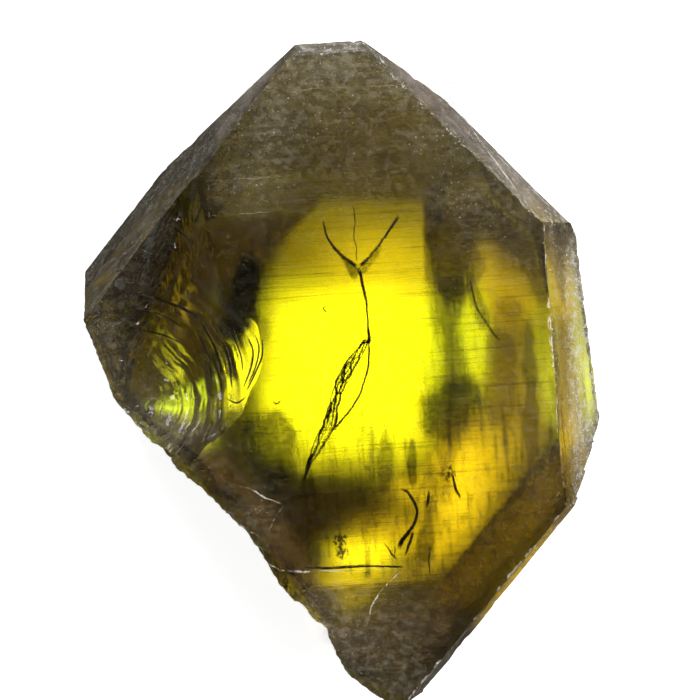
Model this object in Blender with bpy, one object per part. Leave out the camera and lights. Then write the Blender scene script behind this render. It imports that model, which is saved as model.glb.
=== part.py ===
"""A tabular citrine crystal with a point at each end, one of them broken.

Millimetres below, turned into metres as the mesh is made. The crystal lies on its
back prism face: +Z is the normal of its main prism face, +Y is its long (c) axis,
towards the whole point, and +X is the direction of the whole prism edge.

Quartz grows six prism faces, 60 degrees apart about the c axis, and six rhomb faces
at each end, whose normals stand 51.8 degrees from it. Every flat face below is one of
those, moved out from the middle to its own distance, with a degree or two of lean
where the real face leans. A block is cut down by these planes. The left corner is
then broken away by a shell-shaped (conchoidal) fracture, and the lower left side by
a rough one that also takes off the tip of the lower point.
"""

import math

import bmesh
import bpy
from mathutils import Vector, noise

MM = 0.001
NODE = "citrine_crystal"

THICKNESS = 23.0  # between the main and the back prism face
MIDDLE = Vector((-1.23, -3.80, 0.0))  # of the finished crystal's box in plan
RHOMB = math.radians(51.79)  # from a rhomb face's normal to the c axis

# Left corner fracture: where it was struck, and its rim's radius by bearing (degrees)
STRIKE = Vector((-39.5, -6.5))
STRIKE_Z = 10.0
RIM = (
    (-180.0, 14.0),
    (-75.0, 14.0),
    (-30.0, 16.5),
    (-4.0, 21.5),
    (14.0, 25.5),
    (26.0, 27.0),
    (40.0, 25.5),
    (55.0, 29.5),
    (63.0, 36.0),
    (68.0, 41.5),
    (74.0, 33.0),
    (84.0, 24.0),
    (97.0, 18.0),
    (130.0, 14.0),
    (180.0, 14.0),
)
RIB_LENGTH = 3.1  # from one rib of the fracture to the next
RIB_HEIGHT = 0.22
BEARING_STEP = 4.5  # degrees, on the crystal's side of the strike
FAR_BEARING_STEP = 15.0  # and outside the crystal
RINGS = 40

# Lower left fracture: its upper edge in plan, from the left corner down to the tip
BREAK = (
    (-45.0, 0.3),
    (-40.5, -7.2),
    (-32.9, -14.7),
    (-27.4, -20.2),
    (-20.0, -28.0),
    (-16.9, -33.0),
    (-13.2, -39.4),
    (-7.3, -46.0),
    (-4.6, -52.2),
    (-2.2, -55.6),
    (1.6, -58.7),
    (5.4, -59.4),
    (8.4, -58.3),
    (11.6, -55.4),
    (19.0, -51.0),
)
BREAK_FACING = Vector((-0.72, -0.694))
BREAK_UNDERCUT = 0.03  # how far the broken wall leans in, per mm of depth
BREAK_STEPS = 96
BREAK_LEVELS = 11


def prism(azimuth, distance, lean=0.0):
    """A prism face's plane. Azimuth 0 faces +Z and 90 faces +X."""
    turn = math.radians(azimuth)
    normal = Vector((math.sin(turn), lean, math.cos(turn)))
    return normal.normalized(), distance


def rhomb(azimuth, end, distance, swing=0.0):
    """A rhomb face's plane at the +Y or -Y end, swung about Z by a few degrees."""
    turn = math.radians(azimuth)
    flat = math.sin(RHOMB)
    normal = Vector((math.sin(turn) * flat, end * math.cos(RHOMB), math.cos(turn) * flat))
    swung = math.radians(swing)
    return (
        Vector(
            (
                normal.x * math.cos(swung) - normal.y * math.sin(swung),
                normal.x * math.sin(swung) + normal.y * math.cos(swung),
                normal.z,
            )
        ),
        distance,
    )


def smooth_table(table, at):
    """The table's value at a bearing, eased between its rows."""
    for (x0, y0), (x1, y1) in zip(table, table[1:]):
        if at <= x1:
            t = (at - x0) / (x1 - x0)
            t = t * t * (3 - 2 * t) * 0.5 + t * 0.5
            return y0 + (y1 - y0) * t
    return table[-1][1]


def along(path, share):
    """The point at a share of the path's length."""
    points = [Vector(p) for p in path]
    lengths = [(b - a).length for a, b in zip(points, points[1:])]
    want = share * sum(lengths)
    for a, b, length in zip(points, points[1:], lengths):
        if want <= length:
            return a + (b - a) * (want / length)
        want -= length
    return points[-1]


def rough(x, y, z, size, octaves=4):
    """Fractal noise, about -1 to 1."""
    return noise.fractal(Vector((x, y, z)) / size, 0.9, 2.1, octaves)


def cut(bm, normal, distance):
    """Cuts away what lies beyond a plane and closes the cut with one flat face."""
    geometry = bm.verts[:] + bm.edges[:] + bm.faces[:]
    result = bmesh.ops.bisect_plane(
        bm,
        geom=geometry,
        dist=1e-5,
        plane_co=normal * distance,
        plane_no=normal,
        clear_outer=True,
    )
    rim = [item for item in result["geom_cut"] if isinstance(item, bmesh.types.BMEdge)]
    if rim:
        bmesh.ops.contextual_create(bm, geom=rim)


def crystal_faces():
    """The flat faces, in the order in which they are cut."""
    return [
        prism(0, THICKNESS),
        prism(180, 0.0),
        # the whole point, front faces then back ones
        rhomb(0, 1, 48.76),
        rhomb(-60, 1, 43.91, 0.9),
        rhomb(60, 1, 43.79, -0.9),
        rhomb(180, 1, 15.19),
        rhomb(-120, 1, 38.57, 0.9),
        rhomb(120, 1, 33.34, -0.9),
        # the right hand prism edge, whose back face tapers
        prism(60, 40.86, 0.0246),
        prism(120, 30.6, 0.14),
        # the lower point's right and back faces
        rhomb(60, -1, 50.05, -0.8),
        rhomb(120, -1, 34.45, -0.8),
        rhomb(180, -1, 24.97),
        # what is left of the left hand prism edge, broken steep
        (Vector((-0.98, -0.19, -0.052)).normalized(), 40.9),
    ]


def blank():
    """A block cut down to the crystal's flat faces, in millimetres."""
    bm = bmesh.new()
    bmesh.ops.create_cube(bm, size=1.0)
    for vert in bm.verts:
        vert.co = Vector((vert.co.x * 140, vert.co.y * 160, vert.co.z * 60))
    for normal, distance in crystal_faces():
        cut(bm, normal, distance)
    bmesh.ops.recalc_face_normals(bm, faces=bm.faces[:])
    return bm


def shell_height(radius, bearing):
    """The conchoidal surface's height: a bowl that ripples outward from the strike."""
    rim = smooth_table(RIM, bearing)
    share = radius / rim
    bowl = (math.sqrt(min(share, 1.0) ** 2 + 0.02) - 0.141) / 0.869
    rise = 0.8 * bowl + 0.2 * bowl * bowl
    height = STRIKE_Z + (THICKNESS - STRIKE_Z) * rise
    if share > 1:
        height += (share - 1) * rim * 0.62
    fade = min(1.0, max(0.0, (1.04 - share) * 4)) * min(1.0, share * 3)
    wobble = 1.1 * rough(math.cos(math.radians(bearing)), math.sin(math.radians(bearing)), radius * 0.03, 0.7, 3)
    rib = math.sin(2 * math.pi * (radius + wobble) / RIB_LENGTH)
    return height + fade * RIB_HEIGHT * (rib + 0.35 * math.sin(3.1 * rib + radius))


def shell_bearings():
    """The bearings of the bowl's spokes, close together where it cuts the crystal."""
    bearings = [-180.0]
    while bearings[-1] < 180.0:
        inside = -66.0 <= bearings[-1] < 112.0
        bearings.append(bearings[-1] + (BEARING_STEP if inside else FAR_BEARING_STEP))
    return [bearing for bearing in bearings if bearing < 179.0]


def shell_cutter():
    """What the left corner's fracture takes away."""
    bm = bmesh.new()
    middle = bm.verts.new((STRIKE.x, STRIKE.y, STRIKE_Z))
    rings = []
    bearings = shell_bearings()
    for ring in range(1, RINGS + 1):
        loop = []
        for bearing in bearings:
            radius = 1.2 * smooth_table(RIM, bearing) * ring / RINGS
            turn = math.radians(bearing)
            loop.append(
                bm.verts.new(
                    (
                        STRIKE.x + radius * math.cos(turn),
                        STRIKE.y + radius * math.sin(turn),
                        shell_height(radius, bearing),
                    )
                )
            )
        rings.append(loop)
    lid = [bm.verts.new((v.co.x, v.co.y, 48.0)) for v in rings[-1]]
    for step in range(len(bearings)):
        after = (step + 1) % len(bearings)
        bm.faces.new((middle, rings[0][after], rings[0][step]))
        for inner, outer in zip(rings, rings[1:]):
            bm.faces.new((inner[step], inner[after], outer[after], outer[step]))
        bm.faces.new((rings[-1][step], rings[-1][after], lid[after], lid[step]))
    bm.faces.new(lid)
    bmesh.ops.recalc_face_normals(bm, faces=bm.faces[:])
    return bm


def break_cutter():
    """What the rough fracture of the lower left side takes away: a wavy wall and all beyond it."""
    bm = bmesh.new()
    rows = []
    for step in range(BREAK_STEPS + 1):
        point = along(BREAK, step / BREAK_STEPS)
        row = []
        for level in range(BREAK_LEVELS + 1):
            z = -3 + (THICKNESS + 6) * level / BREAK_LEVELS
            depth = max(0.0, THICKNESS - z)
            ease = min(1.0, 0.15 + 4.0 * step / BREAK_STEPS)
            hackle = 1.2 * ease * rough(point.x, point.y, z, 9.0) * min(1.0, 0.25 + depth / 8)
            steps = 0.5 * ease * rough(point.x * 2.5, point.y * 2.5, z * 0.6, 5.0, 3)
            place = point - BREAK_FACING * (BREAK_UNDERCUT * depth + hackle + steps)
            row.append(bm.verts.new((place.x, place.y, z)))
        rows.append(row)
    far = [(70.0, -70.0), (70.0, -110.0), (-110.0, -110.0), (-110.0, 20.0), (-70.0, 20.0)]
    low = [bm.verts.new((x, y, -3)) for x, y in far]
    high = [bm.verts.new((x, y, THICKNESS + 3)) for x, y in far]
    for here, there in zip(rows, rows[1:]):
        for level in range(BREAK_LEVELS):
            bm.faces.new((here[level], here[level + 1], there[level + 1], there[level]))
    for i in range(len(far) - 1):
        bm.faces.new((low[i], high[i], high[i + 1], low[i + 1]))
    bm.faces.new(rows[-1] + [high[0], low[0]])
    bm.faces.new([low[-1], high[-1]] + list(reversed(rows[0])))
    bm.faces.new([row[0] for row in rows] + low)
    bm.faces.new([row[-1] for row in rows] + high)
    bmesh.ops.recalc_face_normals(bm, faces=bm.faces[:])
    return bm


def to_object(bm, name, scale=MM):
    """An object from a bmesh in millimetres, in metres, moved to the middle of its box."""
    bmesh.ops.translate(bm, vec=-MIDDLE, verts=bm.verts[:])
    bmesh.ops.scale(bm, vec=(scale, scale, scale), verts=bm.verts[:])
    mesh = bpy.data.meshes.new(name)
    bm.to_mesh(mesh)
    bm.free()
    made = bpy.data.objects.new(name, mesh)
    bpy.context.scene.collection.objects.link(made)
    return made


def cutter(bm, name):
    """A cutting solid, kept out of the render."""
    made = to_object(bm, name)
    made.hide_render = True
    made.display_type = "WIRE"
    return made


def subtract(body, tool):
    modifier = body.modifiers.new(tool.name, "BOOLEAN")
    modifier.operation = "DIFFERENCE"
    modifier.solver = "EXACT"
    modifier.object = tool


def citrine():
    """Smoky yellow, see-through quartz."""
    material = bpy.data.materials.new("citrine")
    material.use_nodes = True
    shader = material.node_tree.nodes["Principled BSDF"]
    shader.inputs["Base Color"].default_value = (0.72, 0.55, 0.06, 1.0)
    shader.inputs["Roughness"].default_value = 0.08
    shader.inputs["Metallic"].default_value = 0.0
    shader.inputs["IOR"].default_value = 1.544
    shader.inputs["Transmission Weight"].default_value = 0.9
    material.diffuse_color = (0.72, 0.55, 0.06, 1.0)
    return material


def main():
    for old in list(bpy.data.objects):
        bpy.data.objects.remove(old, do_unlink=True)

    crystal = to_object(blank(), NODE)
    crystal.data.materials.append(citrine())
    subtract(crystal, cutter(break_cutter(), "lower_left_break"))
    subtract(crystal, cutter(shell_cutter(), "left_corner_shell"))


main()
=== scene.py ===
"""The citrine crystal's visual model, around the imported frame.

Lengths in the first half are millimetres in the crystal's own frame: +Y is its c axis,
+Z the normal of its main face, and the crystal lies on its back face. OFFSET moves that
to the row frame. The visual crystal is cut from the same planes and the same two
fractures as the frame's node, with finer fracture relief, then every flat face is
meshed finely and given growth steps, chips and wear.
"""

import math

import bmesh
import bpy
import numpy as np
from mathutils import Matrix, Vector, geometry, kdtree, noise

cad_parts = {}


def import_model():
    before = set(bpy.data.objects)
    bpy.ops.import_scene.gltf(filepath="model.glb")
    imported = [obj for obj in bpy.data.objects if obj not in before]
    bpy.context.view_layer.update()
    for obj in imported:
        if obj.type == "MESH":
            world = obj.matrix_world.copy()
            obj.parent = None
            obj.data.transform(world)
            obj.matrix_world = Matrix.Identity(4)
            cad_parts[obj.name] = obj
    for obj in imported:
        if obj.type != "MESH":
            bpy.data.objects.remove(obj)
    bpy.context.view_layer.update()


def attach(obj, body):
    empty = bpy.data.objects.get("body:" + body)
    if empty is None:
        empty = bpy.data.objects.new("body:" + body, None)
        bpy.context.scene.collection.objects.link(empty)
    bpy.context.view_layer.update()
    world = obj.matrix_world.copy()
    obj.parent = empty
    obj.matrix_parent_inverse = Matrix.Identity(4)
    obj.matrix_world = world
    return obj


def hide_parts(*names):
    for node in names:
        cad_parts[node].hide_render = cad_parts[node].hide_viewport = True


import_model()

MM = 0.001
OFFSET = Vector((1.23, 3.80, 0.0))
THICKNESS = 23.0
RHOMB = math.radians(51.79)

STRIKE = Vector((-39.5, -6.5))
STRIKE_Z = 10.0
RIM = (
    (-180.0, 14.0),
    (-75.0, 14.0),
    (-30.0, 16.5),
    (-4.0, 21.5),
    (14.0, 25.5),
    (26.0, 27.0),
    (40.0, 25.5),
    (55.0, 29.5),
    (63.0, 36.0),
    (68.0, 41.5),
    (74.0, 33.0),
    (84.0, 24.0),
    (97.0, 18.0),
    (130.0, 14.0),
    (180.0, 14.0),
)
BREAK = (
    (-45.0, 0.3),
    (-40.5, -7.2),
    (-32.9, -14.7),
    (-27.4, -20.2),
    (-20.0, -28.0),
    (-16.9, -33.0),
    (-13.2, -39.4),
    (-7.3, -46.0),
    (-4.6, -52.2),
    (-2.2, -55.6),
    (1.6, -58.7),
    (5.4, -59.4),
    (8.4, -58.3),
    (11.6, -55.4),
    (19.0, -51.0),
)
BREAK_FACING = Vector((-0.72, -0.694))
BREAK_UNDERCUT = 0.03

TILT = math.radians(3.8)  # the crystal's lean in the picture
EYE = 400.0  # camera above the main face, mm


# ---------------------------------------------------------------- picture to crystal


def at(u, v, depth=0.0, inside=True):
    """The crystal-frame point that shows at (u, v) of a 700 pixel picture, at a depth below the main face."""
    seen = depth / 1.544 if inside else depth
    k = (EYE + seen) / EYE
    x, y = (u - 350.0) / 6.0 * k, (350.0 - v) / 6.0 * k
    return Vector(
        (
            x * math.cos(TILT) + y * math.sin(TILT),
            -x * math.sin(TILT) + y * math.cos(TILT),
            THICKNESS - depth,
        )
    )


def seen_at(p):
    """The picture pixel at which a point of the crystal's skin shows."""
    k = EYE / (EYE + THICKNESS - p[2])
    x = p[0] * math.cos(TILT) - p[1] * math.sin(TILT)
    y = p[0] * math.sin(TILT) + p[1] * math.cos(TILT)
    return 350.0 + 6.0 * x * k, 350.0 - 6.0 * y * k


# ---------------------------------------------------------------- small helpers


def smoothstep(a, b, x):
    t = np.clip((x - a) / (b - a), 0.0, 1.0)
    return t * t * (3 - 2 * t)


def rough(x, y, z, size, octaves=4):
    """Fractal noise, about -1 to 1."""
    return noise.fractal(Vector((x, y, z)) / size, 0.9, 2.1, octaves)


def smooth_table(table, where):
    for (x0, y0), (x1, y1) in zip(table, table[1:]):
        if where <= x1:
            t = (where - x0) / (x1 - x0)
            t = t * t * (3 - 2 * t) * 0.5 + t * 0.5
            return y0 + (y1 - y0) * t
    return table[-1][1]


def along(path, share):
    points = [Vector(p) for p in path]
    lengths = [(b - a).length for a, b in zip(points, points[1:])]
    want = share * sum(lengths)
    for a, b, length in zip(points, points[1:], lengths):
        if want <= length:
            return a + (b - a) * (want / length)
        want -= length
    return points[-1]


# ---------------------------------------------------------------- the crystal's solid


def prism(azimuth, distance, lean=0.0):
    turn = math.radians(azimuth)
    return Vector((math.sin(turn), lean, math.cos(turn))).normalized(), distance


def rhomb(azimuth, end, distance, swing=0.0):
    turn = math.radians(azimuth)
    flat = math.sin(RHOMB)
    n = Vector((math.sin(turn) * flat, end * math.cos(RHOMB), math.cos(turn) * flat))
    s = math.radians(swing)
    return (
        Vector(
            (
                n.x * math.cos(s) - n.y * math.sin(s),
                n.x * math.sin(s) + n.y * math.cos(s),
                n.z,
            )
        ),
        distance,
    )


PLANES = {
    "main": prism(0, THICKNESS),
    "back": prism(180, 0.0),
    "top": rhomb(0, 1, 48.76),
    "upper_left": rhomb(-60, 1, 43.91, 0.9),
    "upper_right": rhomb(60, 1, 43.79, -0.9),
    "back_top": rhomb(180, 1, 15.19),
    "back_upper_left": rhomb(-120, 1, 38.57, 0.9),
    "back_upper_right": rhomb(120, 1, 33.34, -0.9),
    "right": prism(60, 40.86, 0.0246),
    "back_right": prism(120, 30.6, 0.14),
    "lower_right": rhomb(60, -1, 50.05, -0.8),
    "back_lower_right": rhomb(120, -1, 34.45, -0.8),
    "back_bottom": rhomb(180, -1, 24.97),
    "left": (Vector((-0.98, -0.19, -0.052)).normalized(), 40.9),
}


def blank():
    bm = bmesh.new()
    bmesh.ops.create_cube(bm, size=1.0)
    for vert in bm.verts:
        vert.co = Vector((vert.co.x * 140, vert.co.y * 160, vert.co.z * 60))
    for normal, distance in PLANES.values():
        result = bmesh.ops.bisect_plane(
            bm,
            geom=bm.verts[:] + bm.edges[:] + bm.faces[:],
            dist=1e-5,
            plane_co=normal * distance,
            plane_no=normal,
            clear_outer=True,
        )
        rim = [item for item in result["geom_cut"] if isinstance(item, bmesh.types.BMEdge)]
        if rim:
            bmesh.ops.contextual_create(bm, geom=rim)
    bmesh.ops.recalc_face_normals(bm, faces=bm.faces[:])
    return bm


def shell_height(radius, bearing):
    """The conchoidal surface: the frame's bowl, with its broad ribs and finer ones on them."""
    rim = smooth_table(RIM, bearing)
    share = radius / rim
    bowl = (math.sqrt(min(share, 1.0) ** 2 + 0.02) - 0.141) / 0.869
    rise = 0.8 * bowl + 0.2 * bowl * bowl
    height = STRIKE_Z + (THICKNESS - STRIKE_Z) * rise
    if share > 1:
        height += (share - 1) * rim * 0.62
    fade = min(1.0, max(0.0, (1.04 - share) * 4)) * min(1.0, share * 3)
    b = math.radians(bearing)
    cx, cy = math.cos(b), math.sin(b)
    wobble = 1.1 * rough(cx, cy, radius * 0.03, 0.7, 3)
    rib = math.sin(2 * math.pi * (radius + wobble) / 3.1)
    fine = math.sin(2 * math.pi * (radius + 1.7 * wobble) / 1.15 + 2.0 * rib)
    finest = math.sin(2 * math.pi * (radius + 2.2 * wobble) / 0.62 + bearing * 0.05)
    patch = 0.5 + 0.5 * rough(cx * 3, cy * 3, radius * 0.09, 1.0, 3)
    height += fade * (0.22 * (rib + 0.35 * math.sin(3.1 * rib + radius)))
    height += fade * (0.075 * fine * (0.4 + patch) + 0.03 * finest * patch)
    height += fade * 0.10 * rough(radius * cx, radius * cy, 2.0, 2.6, 4)
    return height


def shell_cutter():
    bm = bmesh.new()
    middle = bm.verts.new((STRIKE.x, STRIKE.y, STRIKE_Z))
    bearings = [-180.0]
    while bearings[-1] < 180.0:
        inside = -66.0 <= bearings[-1] < 112.0
        bearings.append(bearings[-1] + (1.3 if inside else 15.0))
    bearings = [b for b in bearings if b < 179.0]
    rings, count = [], 120
    for ring in range(1, count + 1):
        loop = []
        for bearing in bearings:
            radius = 1.2 * smooth_table(RIM, bearing) * ring / count
            turn = math.radians(bearing)
            loop.append(
                bm.verts.new(
                    (
                        STRIKE.x + radius * math.cos(turn),
                        STRIKE.y + radius * math.sin(turn),
                        shell_height(radius, bearing),
                    )
                )
            )
        rings.append(loop)
    lid = [bm.verts.new((v.co.x, v.co.y, 48.0)) for v in rings[-1]]
    for step in range(len(bearings)):
        after = (step + 1) % len(bearings)
        bm.faces.new((middle, rings[0][after], rings[0][step]))
        for inner, outer in zip(rings, rings[1:]):
            bm.faces.new((inner[step], inner[after], outer[after], outer[step]))
        bm.faces.new((rings[-1][step], rings[-1][after], lid[after], lid[step]))
    bm.faces.new(lid)
    bmesh.ops.recalc_face_normals(bm, faces=bm.faces[:])
    return bm


def break_cutter():
    bm = bmesh.new()
    rows, steps_along, levels = [], 288, 56
    for step in range(steps_along + 1):
        point = along(BREAK, step / steps_along)
        row = []
        for level in range(levels + 1):
            z = -3 + (THICKNESS + 6) * level / levels
            depth = max(0.0, THICKNESS - z)
            ease = min(1.0, 0.15 + 4.0 * step / steps_along)
            hackle = 1.2 * ease * rough(point.x, point.y, z, 9.0) * min(1.0, 0.25 + depth / 8)
            steps = 0.5 * ease * rough(point.x * 2.5, point.y * 2.5, z * 0.6, 5.0, 3)
            facet = 0.12 * ease * rough(point.x * 1.5, point.y * 1.5, z, 1.6, 3)
            place = point - BREAK_FACING * (BREAK_UNDERCUT * depth + hackle + steps + facet)
            row.append(bm.verts.new((place.x, place.y, z)))
        rows.append(row)
    far = [(70.0, -70.0), (70.0, -110.0), (-110.0, -110.0), (-110.0, 20.0), (-70.0, 20.0)]
    low = [bm.verts.new((x, y, -3)) for x, y in far]
    high = [bm.verts.new((x, y, THICKNESS + 3)) for x, y in far]
    for here, there in zip(rows, rows[1:]):
        for level in range(levels):
            bm.faces.new((here[level], here[level + 1], there[level + 1], there[level]))
    for i in range(len(far) - 1):
        bm.faces.new((low[i], high[i], high[i + 1], low[i + 1]))
    bm.faces.new(rows[-1] + [high[0], low[0]])
    bm.faces.new([low[-1], high[-1]] + list(reversed(rows[0])))
    bm.faces.new([row[0] for row in rows] + low)
    bm.faces.new([row[-1] for row in rows] + high)
    bmesh.ops.recalc_face_normals(bm, faces=bm.faces[:])
    return bm


def plain_object(bm, name):
    mesh = bpy.data.meshes.new(name)
    bm.to_mesh(mesh)
    bm.free()
    made = bpy.data.objects.new(name, mesh)
    bpy.context.scene.collection.objects.link(made)
    return made


def carved_mesh():
    """The polyhedron less its two fractures, in millimetres, as a mesh with n-gons."""
    body = plain_object(blank(), "blank")
    tools = [plain_object(break_cutter(), "tool_break"), plain_object(shell_cutter(), "tool_shell")]
    for tool in tools:
        modifier = body.modifiers.new(tool.name, "BOOLEAN")
        modifier.operation = "DIFFERENCE"
        modifier.solver = "EXACT"
        modifier.object = tool
    graph = bpy.context.evaluated_depsgraph_get()
    graph.update()
    bm = bmesh.new()
    bm.from_mesh(body.evaluated_get(graph).to_mesh())
    for item in [body] + tools:
        mesh = item.data
        bpy.data.objects.remove(item, do_unlink=True)
        bpy.data.meshes.remove(mesh)
    bmesh.ops.remove_doubles(bm, verts=bm.verts[:], dist=0.002)
    return bm


# ---------------------------------------------------------------- meshing the flat faces

# The direction of each flat face's growth lines, in the crystal frame
GROWTH = {
    "main": Vector((1.0, 0.0, 0.0)),
    "back": Vector((1.0, 0.0, 0.0)),
    "right": Vector((0.5, 0.0, -0.866)),
    "back_right": Vector((-0.5, 0.0, -0.866)),
}


def plane_of(face):
    """The name of the flat face that a polygon lies on, or None on a fracture."""
    middle = face.calc_center_median()
    for name, (normal, distance) in PLANES.items():
        if face.normal.dot(normal) > 0.99995 and abs(middle.dot(normal) - distance) < 0.01:
            return name
    return None


def axes(name):
    normal = PLANES[name][0]
    if name in GROWTH:
        u = GROWTH[name]
    else:  # a rhomb face's lines follow its edge with the next face round
        u = normal.cross(Vector((0, 0, 1)))
    u = (u - normal * u.dot(normal)).normalized()
    return u, normal.cross(u).normalized(), normal


def inside_polygon(px, py, poly):
    found = np.zeros(len(px), bool)
    x0, y0 = poly[-1]
    for x1, y1 in poly:
        if y0 != y1:
            crosses = (y0 > py) != (y1 > py)
            found ^= crosses & (px < (x1 - x0) * (py - y0) / (y1 - y0) + x0)
        x0, y0 = x1, y1
    return found


def peeled(tris, loop):
    """The triangles less those outside the loop, taken off from the hull inward."""
    rim = {(min(a, b), max(a, b)) for a, b in zip(loop, loop[1:] + loop[:1])}
    users = {}
    for i, tri in enumerate(tris):
        for a, b in zip(tri, tri[1:] + tri[:1]):
            users.setdefault((min(a, b), max(a, b)), set()).add(i)
    gone = set()
    queue = [e for e, who in users.items() if len(who) == 1 and e not in rim]
    while queue:
        for i in list(users[queue.pop()]):
            gone.add(i)
            tri = tris[i]
            for a, b in zip(tri, tri[1:] + tri[:1]):
                e = (min(a, b), max(a, b))
                users[e].discard(i)
                if len(users[e]) == 1 and e not in rim:
                    queue.append(e)
    return [tri for i, tri in enumerate(tris) if i not in gone]


def refined(bm, du, dv, edge):
    """(points, faces, plane name index of each face) with every flat face cut into a fine mesh."""
    for e in [e for e in bm.edges if e.calc_length() > edge * 1.4]:
        pieces = max(1, round(e.calc_length() / edge))
        start = e.verts[0]
        for left in range(pieces, 1, -1):
            e, vert = bmesh.utils.edge_split(e, start, 1.0 / left)
            nxt = [x for x in vert.link_edges if start not in x.verts]
            start, e = vert, nxt[0]
    bm.verts.ensure_lookup_table()
    bm.verts.index_update()
    bm.normal_update()
    points = [v.co.copy() for v in bm.verts]
    faces, owner = [], []
    names = list(PLANES)
    for face in bm.faces:
        name = plane_of(face)
        loop = [v.index for v in face.verts]
        if name is None:
            faces.append(loop)
            owner.append(-1)
            continue
        u, v, n = axes(name)
        origin = n * PLANES[name][1]
        flat = [((points[i] - origin).dot(u), (points[i] - origin).dot(v)) for i in loop]
        poly = np.array(flat)
        low, high = poly.min(0), poly.max(0)
        gu = np.arange(low[0] + du * 0.5, high[0], du)
        gv = np.arange(low[1] + dv * 0.5, high[1], dv)
        grid_u, grid_v = np.meshgrid(gu, gv)
        grid_u = grid_u + (np.arange(len(gv)) % 2)[:, None] * du * 0.5
        grid_u, grid_v = grid_u.ravel(), grid_v.ravel()
        keep = inside_polygon(grid_u, grid_v, poly)
        tree = kdtree.KDTree(len(flat))
        for i, p in enumerate(flat):
            tree.insert((p[0], p[1], 0.0), i)
        tree.balance()
        inner = []
        for a, b in zip(grid_u[keep], grid_v[keep]):
            if tree.find((a, b, 0.0))[2] > edge * 0.6:
                inner.append((float(a), float(b)))
        coords = [Vector(p) for p in flat] + [Vector(p) for p in inner]
        out, _, tris, orig, _, _ = geometry.delaunay_2d_cdt(
            coords, [], [list(range(len(flat)))], 1, 1e-6, True
        )
        index = []
        for i, sources in enumerate(orig):
            if sources and sources[0] < len(loop):
                index.append(loop[sources[0]])
            else:
                index.append(len(points))
                p = out[i]
                points.append(origin + u * p[0] + v * p[1])
        for tri in peeled([[index[i] for i in tri] for tri in tris], loop):
            faces.append(tri)
            owner.append(names.index(name))
    return points, faces, owner


# ---------------------------------------------------------------- relief on the flat faces


def terrace(s):
    """Steps with flat treads and short risers."""
    base = math.floor(s)
    t = (s - base - 0.82) / 0.18
    t = min(1.0, max(0.0, t))
    return base + t * t * (3 - 2 * t)


def relief(name, u, v, x, y):
    """Height of the growth relief of a flat face, in mm, along its lines (u) and across them (v)."""
    seed = 7.3 * list(PLANES).index(name)
    warp = 0.9 * rough(u, v, seed, 17.0, 3)
    lines = rough(u * 0.055, (v + warp) * 1.15, seed, 1.0, 4)
    broad = rough(u, v * 1.3, seed + 3.0, 15.0, 3)
    step = terrace((v + 0.05 * u + 2.2 * warp) * 0.31)
    if name == "main":
        return 0.022 * lines + 0.055 * broad + 0.020 * step - 0.06
    if name in ("back", "back_top"):
        return 0.012 * lines + 0.04 * broad - 0.03
    if name in ("right", "back_right"):
        return 0.075 * lines + 0.07 * broad + 0.05 * step - 0.12
    if name == "upper_right":
        return 0.060 * lines + 0.06 * broad + 0.03 * step - 0.10
    if name == "left":
        return 0.10 * lines + 0.22 * broad - 0.2
    return 0.030 * lines + 0.06 * broad - 0.05


# How frosted each flat face is: the share of light that its skin scatters
FROST = {
    "main": 0.005,
    "back": 0.01,
    "top": 0.20,
    "upper_left": 0.145,
    "upper_right": 0.20,
    "back_top": 0.12,
    "back_upper_left": 0.45,
    "back_upper_right": 0.45,
    "right": 0.22,
    "back_right": 0.25,
    "lower_right": 0.075,
    "back_lower_right": 0.45,
    "back_bottom": 0.40,
    "left": 0.16,
}
SHELL_FROST = 0.010
BREAK_FROST = 0.75

# How pale the frost of each flat face is: 0 is dark brown and 1 is clean white frost. The back faces' dark brown frost
# is painted shade, seen through the crystal.
TONE = {
    "main": 0.75,
    "back": 0.2,
    "back_top": 0.2,
    "back_upper_left": 0.10,
    "back_upper_right": 0.15,
    "back_right": 0.45,
    "back_lower_right": 0.10,
    "back_bottom": 0.10,
    "left": 0.6,
    "lower_right": 0.75,
}

# Crushed patches of the shell-shaped scar, written as the main face's patches are. Their white specks are partly
# painted sparkle highlights.
SHELL_PATCHES = (
    (150, 236, 30, 26, 0.018),
    (120, 280, 30, 26, 0.022),
    (108, 348, 24, 44, 0.065),
    (140, 398, 26, 28, 0.070),
    (165, 430, 28, 20, 0.090),
    (186, 412, 24, 20, 0.045),
    (202, 434, 20, 14, 0.060),
)

# Frosted patches of the main face: middle, half sizes in picture pixels, and amount
PATCHES = (
    (271, 138, 22, 50, 0.055),
    (246, 186, 28, 20, 0.018),
    (330, 66, 120, 40, 0.095),
    (250, 200, 30, 60, 0.012),
    (440, 120, 60, 60, 0.030),
    (385, 640, 50, 46, 0.060),
    (398, 684, 30, 20, 0.050),
    (322, 632, 32, 32, 0.075),
    (250, 520, 34, 34, 0.040),
    (205, 455, 28, 28, 0.035),
    (330, 150, 150, 70, 0.026),
    (490, 200, 50, 30, 0.030),
    (545, 420, 26, 90, 0.020),
    (500, 250, 60, 60, 0.018),
    (500, 390, 46, 80, 0.012),
    (330, 590, 30, 30, 0.020),
)


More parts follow.
